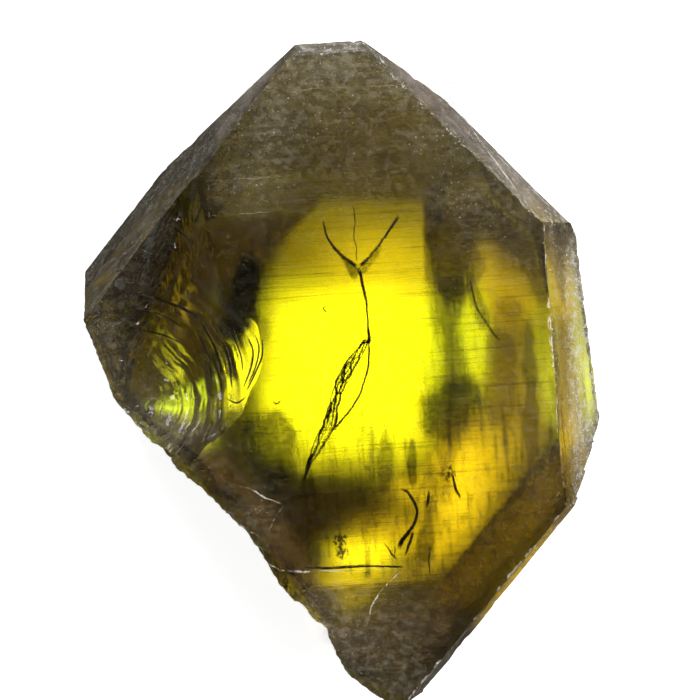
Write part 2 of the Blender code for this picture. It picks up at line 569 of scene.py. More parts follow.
def frost_at(name, p):
    """The frost of a flat face at a point of it."""
    value = FROST[name]
    u, v = seen_at(p)
    if name == "main":
        for cu, cv, ru, rv, amount in PATCHES:
            r2 = ((u - cu) / ru) ** 2 + ((v - cv) / rv) ** 2
            value += amount * math.exp(-r2)
    elif name == "right":
        # Partly painted light: the right prism face is kept clear along its top and its crease and frosted pale lower
        # down, where light from behind shows through it, and the frost thins again near its foot.
        out = u - 549.0 - 0.05 * (v - 260.0)
        value = 0.05 + 0.20 * float(smoothstep(8, 24, out) * smoothstep(222, 262, v))
        value -= 0.05 * float(smoothstep(400, 450, v))
    elif name == "back":
        n = axes("back_lower_right")[2]
        inward = PLANES["back_lower_right"][1] - (n[0] * p[0] + n[1] * p[1] + n[2] * p[2])
        value += 0.20 * float(1 - smoothstep(0.0, 6.5, inward)) ** 1.5
    elif name == "upper_right":
        value = 0.125 + 0.065 * float(smoothstep(110, 200, v))
    return value


def fracture_frost(p, wall):
    """The frost of a fracture at a point of it."""
    if (wall or p[1] < -23.0) and p[1] < -6.0 and p[2] > 0.5:
        return BREAK_FROST
    value = SHELL_FROST
    u, v = seen_at(p)
    for cu, cv, ru, rv, amount in SHELL_PATCHES:
        value += amount * math.exp(-(((u - cu) / ru) ** 2) - ((v - cv) / rv) ** 2)
    return value


def crystal_mesh():
    bm = carved_mesh()
    points, faces, owner = refined(bm, 1.1, 0.38, 0.45)
    bm.free()
    names = list(PLANES)
    place = np.array([p[:] for p in points])
    moved = place.copy()
    normal_sum = np.zeros_like(place)
    planes_at = np.zeros(len(place), int)
    used = {}
    for face, which in zip(faces, owner):
        used.setdefault(which, set()).update(face)
    local = {}
    for which, members in used.items():
        members = sorted(members)
        if which < 0:
            continue
        u, v, n = axes(names[which])
        origin = n * PLANES[names[which]][1]
        for i in members:
            p = points[i] - origin
            a, b = p.dot(u), p.dot(v)
            local[(which, i)] = (a, b)
            h = relief(names[which], a, b, points[i].x, points[i].y)
            moved[i] += np.array(n[:]) * h
            normal_sum[i] += np.array(n[:])
            planes_at[i] += 1
    on_fracture = np.zeros(len(place), bool)
    on_fracture[sorted(used.get(-1, []))] = True
    crease = np.where((planes_at > 1) | ((planes_at > 0) & on_fracture))[0]

    # Wear and chips along the edges, fading inward over about a millimetre
    chip = np.zeros(len(crease))
    for k, i in enumerate(crease):
        x, y, z = place[i]
        small = rough(x, y, z, 1.6, 3)
        large = rough(x + 40, y, z, 6.0, 3)
        chip[k] = 0.05 + 0.38 * max(0.0, small - 0.18) + 0.55 * max(0.0, large - 0.42)
        if on_fracture[i]:
            chip[k] *= 0.35
    calm = used.get(names.index("upper_left"), set())
    shoulder = used.get(names.index("upper_right"), set())
    keen = np.ones(len(crease))
    for k, i in enumerate(crease):
        if i in shoulder and seen_at(place[i])[1] > 170:
            keen[k] = 0.5
            chip[k] *= 0.4
        if i in calm:
            keen[k] = 0.35
    tree = kdtree.KDTree(len(crease))
    for k, i in enumerate(crease):
        tree.insert(place[i], k)
    tree.balance()
    edge_wear = np.zeros(len(place))
    reach = 1.25
    for i in range(len(place)):
        _, k, distance = tree.find(place[i])
        if distance > reach:
            continue
        fall = (1 - distance / reach) ** 1.6
        inward = normal_sum[crease[k]]
        length = np.linalg.norm(inward)
        if length > 0:
            moved[i] -= inward / length * chip[k] * fall
        narrow = max(0.0, 1 - distance / 0.65)
        edge_wear[i] = narrow * min(1.0, 0.35 + 2.5 * chip[k]) * keen[k]

    mesh = bpy.data.meshes.new("citrine_crystal_visual")
    shift = np.array(OFFSET[:])
    mesh.from_pydata(((moved + shift) * MM).tolist(), [], faces)
    mesh.update()

    # What the material reads: a place on each face, how frosted it is, and its kind
    counts = [len(f) for f in faces]
    total = sum(counts)
    grow = np.zeros((total, 3), np.float32)
    frost = np.zeros(total, np.float32)
    wear = np.zeros(total, np.float32)
    broken = np.zeros(total, np.float32)
    tone = np.ones(total, np.float32)
    at_loop = 0
    for face, which in zip(faces, owner):
        p, q, r = place[face[0]], place[face[1]], place[face[2]]
        turn = np.cross(q - p, r - p)
        wall = abs(turn[2]) < 0.5 * np.linalg.norm(turn)
        for i in face:
            if which >= 0:
                a, b = local[(which, i)]
                grow[at_loop] = (a, b, 9.0 * which)
                frost[at_loop] = frost_at(names[which], place[i])
                tone[at_loop] = TONE.get(names[which], 1.0)
            else:
                x, y, z = place[i]
                radius = math.hypot(x - STRIKE.x, y - STRIKE.y)
                bearing = math.atan2(y - STRIKE.y, x - STRIKE.x)
                grow[at_loop] = (bearing * 18.0, radius, z)
                frost[at_loop] = fracture_frost(place[i], wall)
                broken[at_loop] = 1.0
                tone[at_loop] = 0.22 if wall else 0.55
            wear[at_loop] = edge_wear[i]
            at_loop += 1
    for name, kind, values in (
        ("grow", "FLOAT_VECTOR", grow),
        ("frost", "FLOAT", frost),
        ("wear", "FLOAT", wear),
        ("broken", "FLOAT", broken),
        ("tone", "FLOAT", tone),
    ):
        attribute = mesh.attributes.new(name, kind, "CORNER")
        attribute.data.foreach_set("vector" if kind == "FLOAT_VECTOR" else "value", values.ravel())
    mesh.polygons.foreach_set("use_smooth", [True] * len(faces))
    mesh.set_sharp_from_angle(angle=math.radians(24))
    return mesh


# ---------------------------------------------------------------- materials


class Nodes:
    """A short way to write a node tree."""

    def __init__(self, name):
        self.material = bpy.data.materials.new(name)
        self.material.use_nodes = True
        self.tree = self.material.node_tree
        self.shader = self.tree.nodes["Principled BSDF"]
        self.output = self.tree.nodes["Material Output"]

    def add(self, kind, inputs=None, **settings):
        node = self.tree.nodes.new(kind)
        for key, value in settings.items():
            setattr(node, key, value)
        for key, value in (inputs or {}).items():
            self.put(node.inputs[key], value)
        return node

    def put(self, socket, value):
        if isinstance(value, bpy.types.NodeSocket):
            self.tree.links.new(value, socket)
        elif isinstance(value, bpy.types.Node):
            self.tree.links.new(value.outputs[0], socket)
        else:
            socket.default_value = value

    def math(self, operation, a, b=0.0, c=0.0, clamp=False):
        node = self.add("ShaderNodeMath", operation=operation, use_clamp=clamp)
        for i, value in enumerate((a, b, c)):
            self.put(node.inputs[i], value)
        return node.outputs[0]

    def attribute(self, name):
        node = self.add("ShaderNodeAttribute", attribute_name=name)
        return node

    def scaled(self, vector, scale, move=(0.0, 0.0, 0.0)):
        return self.add("ShaderNodeMapping", {"Vector": vector, "Scale": scale, "Location": move}).outputs[0]

    def noise(self, vector, scale, detail=4.0, roughness=0.55, distortion=0.0):
        return self.add(
            "ShaderNodeTexNoise",
            {
                "Vector": vector,
                "Scale": scale,
                "Detail": detail,
                "Roughness": roughness,
                "Distortion": distortion,
            },
        ).outputs[0]

    def ramp(self, value, low, high, to_low=0.0, to_high=1.0):
        node = self.add(
            "ShaderNodeMapRange",
            {"Value": value, "From Min": low, "From Max": high, "To Min": to_low, "To Max": to_high},
            interpolation_type="SMOOTHSTEP",
        )
        return node.outputs[0]

    def mix(self, factor, a, b):
        node = self.add("ShaderNodeMix", data_type="RGBA")
        self.put(node.inputs[0], factor)
        self.put(node.inputs[6], a)
        self.put(node.inputs[7], b)
        return node.outputs[2]

    def set(self, **values):
        for key, value in values.items():
            self.put(self.shader.inputs[key.replace("_", " ")], value)


def citrine():
    """Clear yellow quartz with a faintly frosted, finely lined skin."""
    m = Nodes("citrine_clear")
    grow = m.attribute("grow").outputs["Vector"]
    frost = m.attribute("frost").outputs["Fac"]
    wear = m.attribute("wear").outputs["Fac"]
    broken = m.attribute("broken").outputs["Fac"]
    flat = m.math("SUBTRACT", 1.0, broken)

    lines = m.noise(m.scaled(grow, (0.035, 1.3, 0.3)), 1.0, 4.0, 0.62)
    fine = m.noise(m.scaled(grow, (0.11, 4.6, 0.3)), 1.0, 2.0, 0.6)
    cloud = m.noise(m.scaled(grow, (0.075, 0.10, 0.3)), 1.0, 3.0, 0.6)
    speck = m.noise(m.scaled(grow, (1.5, 2.2, 0.3)), 1.0, 2.0, 0.7)

    streak = m.math("ADD", m.ramp(lines, 0.50, 0.74), m.math("MULTIPLY", m.ramp(fine, 0.52, 0.78), 0.7))
    wisp = m.math("MULTIPLY", m.ramp(fine, 0.60, 0.80), m.ramp(cloud, 0.35, 0.65))
    turned = m.add("ShaderNodeMapping", {"Vector": grow, "Scale": (0.60, 0.80, 0.3), "Rotation": (0.5, 0.4, 0.7)})
    mottle = m.noise(turned.outputs[0], 1.0, 4.0, 0.70)
    texture = m.math("ADD", m.ramp(cloud, 0.30, 0.75, 0.30, 0.80), m.math("MULTIPLY", streak, 0.62))
    tone = m.attribute("tone").outputs["Fac"]
    mottled = m.math("MULTIPLY", m.ramp(mottle, 0.46, 0.64), m.ramp(tone, 0.3, 0.6, 0.35, 1.35))
    texture = m.math("ADD", texture, m.math("ADD", mottled, m.ramp(tone, 0.3, 0.6, 0.36, 0.0)))
    haze = m.math("MULTIPLY", frost, texture)
    haze = m.math("ADD", haze, m.math("MULTIPLY", m.ramp(speck, 0.61, 0.77), m.math("MULTIPLY", frost, 1.3)))
    haze = m.math("ADD", haze, m.math("MULTIPLY", m.math("MULTIPLY", wisp, flat), 0.014))
    dust = m.noise(m.scaled(grow, (2.6, 2.9, 0.3), (5.0, 0.0, 0.0)), 1.0, 1.0, 0.5)
    crushed = m.math("MULTIPLY", m.ramp(dust, 0.68, 0.73), m.math("ADD", m.math("MULTIPLY", frost, 4.0), 0.22))
    haze = m.math("ADD", haze, m.math("MULTIPLY", crushed, m.ramp(cloud, 0.35, 0.6, 0.4, 1.0)))
    edge = m.math("MULTIPLY", m.ramp(m.math("ADD", wear, m.math("MULTIPLY", speck, 0.6)), 0.76, 1.12), 0.55)
    haze = m.math("ADD", haze, edge)
    haze = m.math("MINIMUM", haze, 0.92)

    # A low tone thickens the frost and turns it dark brown: on the back faces that is painted shade seen through the
    # crystal.
    frosted = m.mix(tone, (0.13, 0.095, 0.040, 1.0), (0.80, 0.77, 0.69, 1.0))
    m.set(
        Base_Color=m.mix(m.ramp(haze, 0.04, 0.35), (0.96, 0.84, 0.60, 1.0), frosted),
        Transmission_Weight=m.math("SUBTRACT", 1.0, haze),
        Roughness=m.ramp(haze, 0.02, 0.6, 0.025, 0.42),
        IOR=1.544,
        Specular_IOR_Level=0.5,
    )
    height = m.math("ADD", m.math("MULTIPLY", lines, m.math("MULTIPLY", flat, 1.0)), m.math("MULTIPLY", fine, m.math("ADD", m.math("MULTIPLY", flat, 0.35), 0.1)))
    height = m.math("ADD", height, m.math("MULTIPLY", speck, m.math("MULTIPLY", frost, 0.5)))
    bump = m.add("ShaderNodeBump", {"Strength": 0.5, "Distance": 0.00009, "Height": height})
    m.set(Normal=bump.outputs[0])
    volume = m.add("ShaderNodeVolumeAbsorption")
    volume.inputs["Color"].default_value = (0.86, 0.835, 0.0, 1.0)
    volume.inputs["Density"].default_value = 240.0
    m.tree.links.new(volume.outputs[0], m.output.inputs["Volume"])
    return m.material


# ---------------------------------------------------------------- what is sealed inside, and sheets of painted shade and glow


def spline(points, step, closed=False):
    """Points along a Catmull-Rom curve through rows of numbers, about step apart in the first two."""
    rows = [np.array(p, float) for p in points]
    count = len(rows)
    out = []
    for i in range(count if closed else count - 1):
        p0 = rows[i - 1] if closed or i > 0 else rows[0]
        p1, p2 = rows[i], rows[(i + 1) % count]
        p3 = rows[(i + 2) % count] if closed or i + 2 < count else rows[-1]
        pieces = max(2, int(np.linalg.norm((p2 - p1)[:2]) / step))
        for k in range(pieces):
            t = k / pieces
            out.append(
                0.5
                * (
                    2 * p1
                    + (p2 - p0) * t
                    + (2 * p0 - 5 * p1 + 4 * p2 - p3) * t * t
                    + (3 * p1 - p0 - 3 * p2 + p3) * t**3
                )
            )
    if not closed:
        out.append(rows[-1])
    return np.array(out)


def piece(name, verts, faces, attributes, material, smooth=True):
    """A mesh piece, from points in the crystal frame, that rides on the crystal."""
    mesh = bpy.data.meshes.new(name)
    mesh.from_pydata([in_row(v) for v in verts], [], faces)
    for key, values in attributes.items():
        values = np.array(values, np.float32)
        vector = values.ndim == 2
        attribute = mesh.attributes.new(key, "FLOAT_VECTOR" if vector else "FLOAT", "POINT")
        attribute.data.foreach_set("vector" if vector else "value", values.ravel())
    mesh.polygons.foreach_set("use_smooth", [smooth] * len(faces))
    mesh.materials.append(material)
    made = bpy.data.objects.new(name, mesh)
    bpy.context.scene.collection.objects.link(made)
    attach(made, "root")
    return made


def zone_sheet(name, colour, light, milky=False):
    """A sheet inside the crystal, soft at its rim, streaked along the c axis: with dark colours it is painted shade,
    with amber ones a painted glow, with pale ones a milky zone.
    """
    m = Nodes(name)
    fade = m.attribute("fade").outputs["Fac"]
    dense = m.attribute("dense").outputs["Fac"]
    where = m.attribute("spot").outputs["Vector"]
    cloud = m.noise(m.scaled(where, (0.34, 0.24, 0.3)), 1.0, 3.0, 0.62)
    ragged = m.math("ADD", m.math("MULTIPLY", m.math("SUBTRACT", cloud, 0.5), 2.2), 1.0)
    if milky:
        grain = m.noise(m.scaled(where, (0.9, 1.1, 0.5)), 1.0, 3.0, 0.70)
        grain = m.ramp(grain, 0.36, 0.64, 0.70, 1.25)
    else:
        streaks = m.noise(m.scaled(where, (1.5, 0.20, 0.5)), 1.0, 2.0, 0.62)
        ragged = m.math("ADD", ragged, m.math("MULTIPLY", m.math("SUBTRACT", streaks, 0.5), 1.3))
        grain = m.noise(m.scaled(where, (0.5, 3.2, 0.5)), 1.0, 1.0, 0.66)
        grain = m.ramp(grain, 0.40, 0.60, 0.80, 1.0)
    alpha = m.math("MULTIPLY", m.ramp(m.math("MULTIPLY", fade, ragged), 0.0, 0.75), dense)
    alpha = m.math("MULTIPLY", alpha, grain)
    m.set(
        Base_Color=m.mix(m.ramp(cloud, 0.3, 0.7), colour, light),
        Roughness=0.9,
        Specular_IOR_Level=0.0,
        Alpha=alpha,
    )
    return m.material


def rim_distance(points, rim):
    """Each point's distance to a closed path, all in picture pixels."""
    a, b = rim, np.roll(rim, -1, 0)
    ab = b - a
    best = np.full(len(points), 1e9)
    for p, d in zip(a, ab):
        t = np.clip(((points - p) @ d) / max(1e-9, d @ d), 0, 1)
        best = np.minimum(best, np.linalg.norm(points - p - t[:, None] * d, axis=1))
    return best


def grid_sheet(low, high, step, depth, bend, strength):
    """A sheet over a picture rectangle, kept where strength(points) is above 0: (points, faces, strength)."""
    gu = np.arange(low[0], high[0] + step, step)
    gv = np.arange(low[1], high[1] + step, step)
    wide, tall = len(gu), len(gv)
    uu, vv = np.meshgrid(gu, gv)
    flat = np.stack([uu.ravel(), vv.ravel()], 1)
    value = strength(flat)
    used, faces, verts = {}, [], []

    def number(i):
        if i not in used:
            used[i] = len(verts)
            u, v = flat[i]
            d = depth + bend * rough(u / 6, v / 6, depth, 9.0, 2)
            verts.append(at(u, v, min(22.4, max(0.5, d))))
        return used[i]

    for r in range(tall - 1):
        for c in range(wide - 1):
            quad = [r * wide + c, r * wide + c + 1, (r + 1) * wide + c + 1, (r + 1) * wide + c]
            if max(value[i] for i in quad) > 0:
                faces.append([number(i) for i in quad])
    order = sorted(used, key=used.get)
    return verts, faces, value[order], flat[order]


def veil(name, outline, depth, dense, soft, material):
    """A sheet inside the crystal whose strength falls off across soft pixels, half of them outside its outline."""
    rim = spline(outline, 3.0, closed=True)[:, :2]

    def strength(points):
        distance = rim_distance(points, rim)
        sign = np.where(inside_polygon(points[:, 0], points[:, 1], rim), 1, -1)
        return np.clip(distance * sign / soft + 0.5, 0, 1)

    low, high = rim.min(0) - soft / 2 - 2, rim.max(0) + soft / 2 + 2
    step = 2.5 if soft < 7 else 3.5
    verts, faces, fade, _ = grid_sheet(low, high, step, depth, 0.5, strength)
    return piece(
        name,
        verts,
        faces,
        {"fade": fade, "dense": [dense] * len(verts), "spot": [v[:] for v in verts]},
        material,
    )


# Painted shade: dark sheets inside the crystal that darken the zones round the bright middle. Outline in picture
# pixels, depth below the main face in mm, density, and softness
VEILS = {
    "smoke_left_spindle": (((247, 254), (261, 267), (260, 286), (258, 304), (256, 322), (249, 336), (236, 333), (226, 324), (232, 300), (233, 280), (240, 262)), 9, 0.96, 13),
    "smoke_left_core": (((246, 262), (258, 270), (256, 290), (252, 306), (250, 324), (240, 330), (232, 322), (238, 300), (238, 280)), 7, 0.85, 8),
    "smoke_left_foot": (((236, 322), (260, 316), (268, 332), (260, 344), (240, 342)), 12, 0.45, 14),
    "smoke_left_under": (((206, 232), (250, 240), (258, 262), (236, 300), (214, 330), (196, 290)), 12, 0.22, 26),
    "smoke_scar_left": (((134, 300), (170, 250), (204, 232), (206, 280), (174, 330), (166, 380), (144, 380), (128, 330)), 16, 0.6, 24),
    "smoke_scar_right": (((226, 350), (250, 336), (256, 352), (250, 378), (244, 402), (228, 402), (222, 374)), 17, 0.75, 14),
    "smoke_window_left": (((258, 200), (322, 198), (302, 224), (284, 247), (273, 272), (265, 298), (256, 296), (256, 250)), 18, 0.12, 30),
    "smoke_window_top": (((262, 186), (430, 186), (430, 198), (330, 199), (270, 204)), 18, 0.3, 12),
    "smoke_right_core": (((435, 186), (444, 186), (444, 210), (440, 226), (435, 220)), 8, 0.65, 6),
    "smoke_right_edge": (((425, 188), (436, 188), (438, 230), (440, 270), (434, 284), (426, 282), (426, 230)), 10, 0.45, 9),
    "smoke_right_band": (((430, 188), (478, 188), (482, 214), (474, 246), (466, 284), (457, 302), (444, 292), (432, 270)), 11, 0.80, 16),
    "smoke_olive_tip": (((440, 280), (468, 282), (464, 300), (457, 316), (448, 306)), 11, 0.72, 12),
    "smoke_olive_band": (((432, 292), (450, 296), (456, 330), (462, 356), (470, 384), (452, 392), (446, 360), (438, 334)), 13, 0.66, 18),
    "smoke_right_upper": (((486, 192), (544, 216), (546, 300), (530, 276), (510, 250), (488, 232)), 12, 0.62, 20),
    "smoke_right_lobe": (((470, 288), (484, 268), (478, 250), (472, 270)), 12, 0.5, 8),
    "smoke_diagonal": (((466, 278), (473, 276), (482, 300), (488, 322), (480, 328), (472, 304)), 8, 0.62, 8),
    "smoke_patch": (((497, 303), (507, 298), (518, 301), (523, 310), (514, 317), (502, 313)), 9, 0.50, 13),
    "smoke_bay": (((480, 306), (500, 308), (526, 318), (534, 338), (498, 340), (488, 326)), 14, 0.15, 14),
    "smoke_block": (((488, 336), (508, 336), (516, 356), (514, 408), (502, 424), (488, 420)), 10, 0.42, 10),
    "smoke_stripe": (((526, 322), (533, 334), (534, 352), (538, 372), (534, 392), (538, 420), (534, 450), (535, 486), (528, 488), (526, 450), (523, 420), (527, 392), (523, 366), (526, 346)), 9, 0.66, 8),
    "smoke_right_low": (((476, 412), (520, 410), (528, 440), (518, 500), (490, 520), (474, 460)), 14, 0.20, 26),
    "smoke_heart": (((424, 398), (440, 388), (458, 380), (478, 386), (482, 404), (468, 424), (452, 440), (436, 440), (424, 420)), 11, 0.80, 20),
    "smoke_heart_tail": (((438, 440), (458, 438), (452, 466), (448, 480), (442, 470)), 12, 0.45, 12),
    "smoke_spindle_a": (((384, 424), (391, 444), (393, 472), (390, 490), (380, 490), (378, 464), (380, 440)), 10, 0.66, 8),
    "smoke_spindle_c": (((371, 424), (376, 440), (376, 470), (371, 480), (368, 456)), 11, 0.40, 6),
    "smoke_spindle_b": (((412, 440), (416, 456), (416, 482), (410, 484), (408, 460)), 10, 0.75, 6),
    "smoke_column": (((428, 496), (434, 500), (434, 520), (432, 560), (418, 562), (418, 540), (426, 520)), 12, 0.74, 10),
    "smoke_column_top": (((430, 468), (448, 476), (452, 494), (444, 504), (432, 492)), 12, 0.45, 12),
    "smoke_mound": (((304, 486), (316, 472), (334, 462), (352, 456), (364, 464), (370, 484), (340, 492)), 14, 0.22, 15),
    "smoke_mound_left": (((268, 470), (292, 476), (312, 486), (300, 500), (270, 496)), 14, 0.60, 14),
    "smoke_foot": (((262, 490), (300, 494), (340, 494), (360, 496), (364, 506), (350, 518), (332, 530), (306, 538), (280, 534)), 15, 0.34, 20),
    "smoke_foot_right": (((360, 490), (386, 490), (388, 508), (380, 520), (362, 520)), 13, 0.34, 16),
    "smoke_foot_left": (((246, 424), (268, 414), (284, 416), (296, 430), (298, 448), (294, 470), (280, 484), (258, 476), (246, 450)), 13, 0.80, 20),
    "smoke_low_left": (((262, 510), (300, 540), (322, 552), (312, 568), (286, 562), (262, 534)), 13, 0.7, 20),
    "smoke_v": (((534, 488), (556, 492), (552, 516), (540, 520)), 9, 0.6, 12),
    "smoke_low_right": (((478, 470), (530, 470), (520, 530), (478, 566), (462, 540)), 15, 0.14, 30),
    "smoke_junction_left": (((340, 254), (350, 263), (358, 270), (355, 279), (350, 275), (344, 262)), 7.4, 0.75, 4),
    "smoke_junction_right": (((362, 268), (372, 256), (381, 242), (378, 256), (369, 267), (363, 274)), 7.4, 0.60, 4),
}
# The darkest of the painted shade, drawn with the near-black sheet
BLACK = {
    "smoke_left_spindle",
    "smoke_left_core",
    "smoke_right_core",
    "smoke_mound",
    "smoke_foot_left",
    "smoke_spindle_a",
    "smoke_spindle_b",
    "smoke_heart",
    "smoke_junction_left",
    "smoke_junction_right",
}
# Milky and brown zones, and the glow rows, amber sheets that are a painted glow, written the same way
HAZES = {
    "haze_top": (((226, 120), (262, 70), (430, 70), (478, 120), (530, 206), (420, 205), (320, 205), (222, 204)), 2.0, 0.24, 30),
    "haze_crest": (((262, 66), (430, 66), (452, 92), (420, 104), (340, 98), (262, 104)), 1.6, 0.22, 26),
    "haze_right_upper": (((440, 190), (520, 196), (546, 230), (548, 300), (500, 270), (450, 250)), 2.0, 0.18, 30),
    "glow_top": (((318, 120), (360, 96), (420, 100), (436, 140), (420, 186), (370, 192), (326, 176)), 4.0, 0.22, 44),
    "clay_left_low": (((216, 460), (262, 500), (292, 540), (318, 590), (316, 608), (290, 570), (240, 506), (208, 466)), 2.0, 0.36, 26),
    "clay_tip": (((330, 628), (400, 604), (450, 616), (424, 654), (390, 668), (346, 648)), 2.0, 0.26, 26),
    "clay_right_low": (((470, 540), (552, 450), (556, 490), (500, 556), (440, 620), (430, 600)), 2.4, 0.10, 26),
    "glow_edge": (((446, 588), (558, 456), (580, 468), (560, 504), (500, 562), (470, 596)), 7.0, 0.60, 34),
    "glow_line": (((438, 588), (486, 541), (522, 499), (560, 454), (570, 464), (532, 512), (496, 554), (450, 600)), 6.0, 0.36, 24),
    "haze_right_side": (((520, 320), (550, 330), (552, 440), (530, 480), (500, 440), (500, 360)), 2.4, 0.16, 26),
}


def crumbs():
    """A pocket of crushed quartz and dirt: dark grains with light between them."""
    m = Nodes("dark_crumbs")
    where = m.attribute("spot").outputs["Vector"]
    fade = m.attribute("fade").outputs["Fac"]
    grains = m.noise(m.scaled(where, (1.5, 1.2, 1.0)), 1.0, 4.0, 0.75)
    alpha = m.ramp(m.math("MULTIPLY", fade, m.ramp(grains, 0.40, 0.58)), 0.18, 0.45)
    m.set(
        Base_Color=(0.020, 0.014, 0.003, 1.0),
        Roughness=0.7,
        Specular_IOR_Level=0.0,
        Alpha=m.math("MULTIPLY", alpha, 0.92),
    )
    return m.material


def skin_lines():
    """Fine growth lines across the main face: faint shadows just under its skin."""
    m = Nodes("growth_lines")
    where = m.attribute("spot").outputs["Vector"]
    fade = m.attribute("fade").outputs["Fac"]
    lines = m.noise(m.scaled(where, (0.030, 1.5, 0.3)), 1.0, 4.0, 0.72)
    fine = m.noise(m.scaled(where, (0.07, 5.2, 0.3), (3.0, 0.0, 0.0)), 1.0, 3.0, 0.6)
    cloud = m.noise(m.scaled(where, (0.10, 0.07, 0.3)), 1.0, 3.0, 0.6)
    pits = m.noise(m.scaled(where, (1.9, 2.6, 1.0)), 1.0, 2.0, 0.6)
    alpha = m.math("ADD", m.ramp(lines, 0.53, 0.70, 0.0, 0.42), m.ramp(fine, 0.55, 0.74, 0.0, 0.34))
    alpha = m.math("MULTIPLY", alpha, m.ramp(cloud, 0.30, 0.62, 0.15, 1.0))
    alpha = m.math("MAXIMUM", alpha, m.ramp(pits, 0.76, 0.80, 0.0, 0.65))
    m.set(
        Base_Color=(0.035, 0.026, 0.010, 1.0),
        Roughness=0.6,
        Specular_IOR_Level=0.0,
        Alpha=m.math("MULTIPLY", alpha, fade),
    )
    return m.material


def back_grain():
    """The back face's uneven growth, seen through the crystal: streaks along the c axis and mottling."""
    m = Nodes("back_grain")
    where = m.attribute("spot").outputs["Vector"]
    fade = m.attribute("fade").outputs["Fac"]
    low = m.attribute("dense").outputs["Fac"]
    streaks = m.noise(m.scaled(where, (1.05, 0.075, 0.3)), 1.0, 4.0, 0.62)
    mottle = m.noise(m.scaled(where, (0.62, 0.50, 0.3)), 1.0, 4.0, 0.72)
    lumps = m.noise(m.scaled(where, (2.4, 2.1, 0.3)), 1.0, 3.0, 0.7)
    across = m.noise(m.scaled(where, (0.05, 1.3, 0.3)), 1.0, 3.0, 0.65)
    alpha = m.math("MULTIPLY", m.ramp(streaks, 0.50, 0.70), 0.55)
    alpha = m.math("ADD", alpha, m.math("MULTIPLY", m.ramp(mottle, 0.50, 0.68), 0.45))
    alpha = m.math("ADD", alpha, m.math("MULTIPLY", m.ramp(lumps, 0.56, 0.70), 0.22))
    alpha = m.math("MULTIPLY", alpha, low)
    alpha = m.math("ADD", alpha, m.math("MULTIPLY", m.ramp(across, 0.52, 0.70), 0.10))
    m.set(
        Base_Color=(0.030, 0.020, 0.004, 1.0),
        Roughness=0.8,
        Specular_IOR_Level=0.0,
        Alpha=m.math("MULTIPLY", m.math("MINIMUM", alpha, 0.85), fade),
    )
    return m.material


MAIN_INSET = (
    (268, 68), (430, 66), (470, 110), (542, 234), (548, 330), (556, 440), (548, 492),
    (500, 556), (424, 660), (390, 662), (352, 636), (300, 580), (262, 536), (232, 496),
    (206, 462), (222, 446), (246, 412), (262, 386), (272, 356), (270, 334), (252, 308),
    (234, 280), (222, 248), (216, 214), (216, 182), (226, 124),
)
BACK_INSET = (
    (268, 214), (420, 212), (520, 212), (548, 250), (556, 340), (560, 420), (536, 470),
    (470, 560), (420, 580), (360, 576), (310, 540), (262, 500), (216, 440), (176, 396),
    (150, 350), (170, 300), (210, 250),
)


def crack_material(name, cells):
    """A crack seen nearly edge on: dark where it turns light away, clear between."""
    m = Nodes(name)
    span = m.attribute("span").outputs["Vector"]
    fade = m.attribute("fade").outputs["Fac"]
    split = m.add("ShaderNodeSeparateXYZ", {0: span})
    across = m.math("ABSOLUTE", split.outputs["Y"])
    grain = m.noise(m.scaled(span, (1.4, 0.9, 1.0)), 1.0, 3.0, 0.6)
    if cells:
        wander = m.noise(m.scaled(span, (0.50, 0.30, 1.0)), 1.0, 3.0, 0.6)
        bands = m.math("ADD", m.math("MULTIPLY", split.outputs["Y"], 1.6), m.math("MULTIPLY", wander, 5.0))
        near = m.math("ABSOLUTE", m.math("SUBTRACT", m.math("FRACT", bands), 0.5))
        lines = m.ramp(near, 0.16, 0.04)
        rims = m.ramp(m.math("ADD", across, m.math("MULTIPLY", grain, 0.3)), 0.80, 0.96)
        alpha = m.math("MAXIMUM", lines, rims)
        alpha = m.math("MAXIMUM", m.math("MULTIPLY", alpha, 0.8), m.ramp(grain, 0.46, 0.72, 0.03, 0.6))
    else:
        alpha = m.ramp(m.math("SUBTRACT", m.math("ADD", grain, 0.62), across), 0.0, 0.22)
    alpha = m.math("MULTIPLY", alpha, fade)
    m.set(
        Base_Color=m.mix(grain, (0.022, 0.015, 0.004, 1.0), (0.05, 0.035, 0.008, 1.0)),
        Roughness=0.35,
        Specular_IOR_Level=0.3,
        Alpha=alpha,
    )
    return m.material


def crack(name, route, depth, material, lean=0.55, ends=(0.6, 0.6), wave=0.25):
    """A ribbon inside the crystal. Route rows are picture u, v and half width in pixels; it leans down to one side."""
    path = spline([(u, v, w) for u, v, w in route], 1.6)
    segments = 6
    verts, faces, span, fade = [], [], [], []
    travelled = 0.0
    total = sum(np.linalg.norm((b - a)[:2]) for a, b in zip(path, path[1:])) / 6
    for i, (u, v, w) in enumerate(path):
        ahead = path[min(i + 1, len(path) - 1)] - path[max(i - 1, 0)]
        direction = ahead[:2] / max(1e-6, np.linalg.norm(ahead[:2]))
        side = np.array([direction[1], -direction[0]])
        if i:
            travelled += np.linalg.norm((path[i] - path[i - 1])[:2]) / 6
        wander = wave * 6 * rough(travelled, depth, 0.0, 1.6, 3)
        soft = min(1.0, (travelled + 0.05) / max(0.05, ends[0]), (total - travelled + 0.05) / max(0.05, ends[1]))
        for j in range(segments + 1):
            t = 2 * j / segments - 1
            q = np.array([u, v]) + side * (w * t + wander * 0.3)
            d = depth + lean * t * w / 6 * 3 + 0.5 * rough(travelled, depth, 3.0, 5.0, 2)
            verts.append(at(q[0], q[1], d))
            span.append((travelled, t, depth))
            fade.append(soft)
    for i in range(len(path) - 1):
        for j in range(segments):
            a = i * (segments + 1) + j
            faces.append((a, a + 1, a + segments + 2, a + segments + 1))
    return piece(name, verts, faces, {"span": span, "fade": fade}, material)


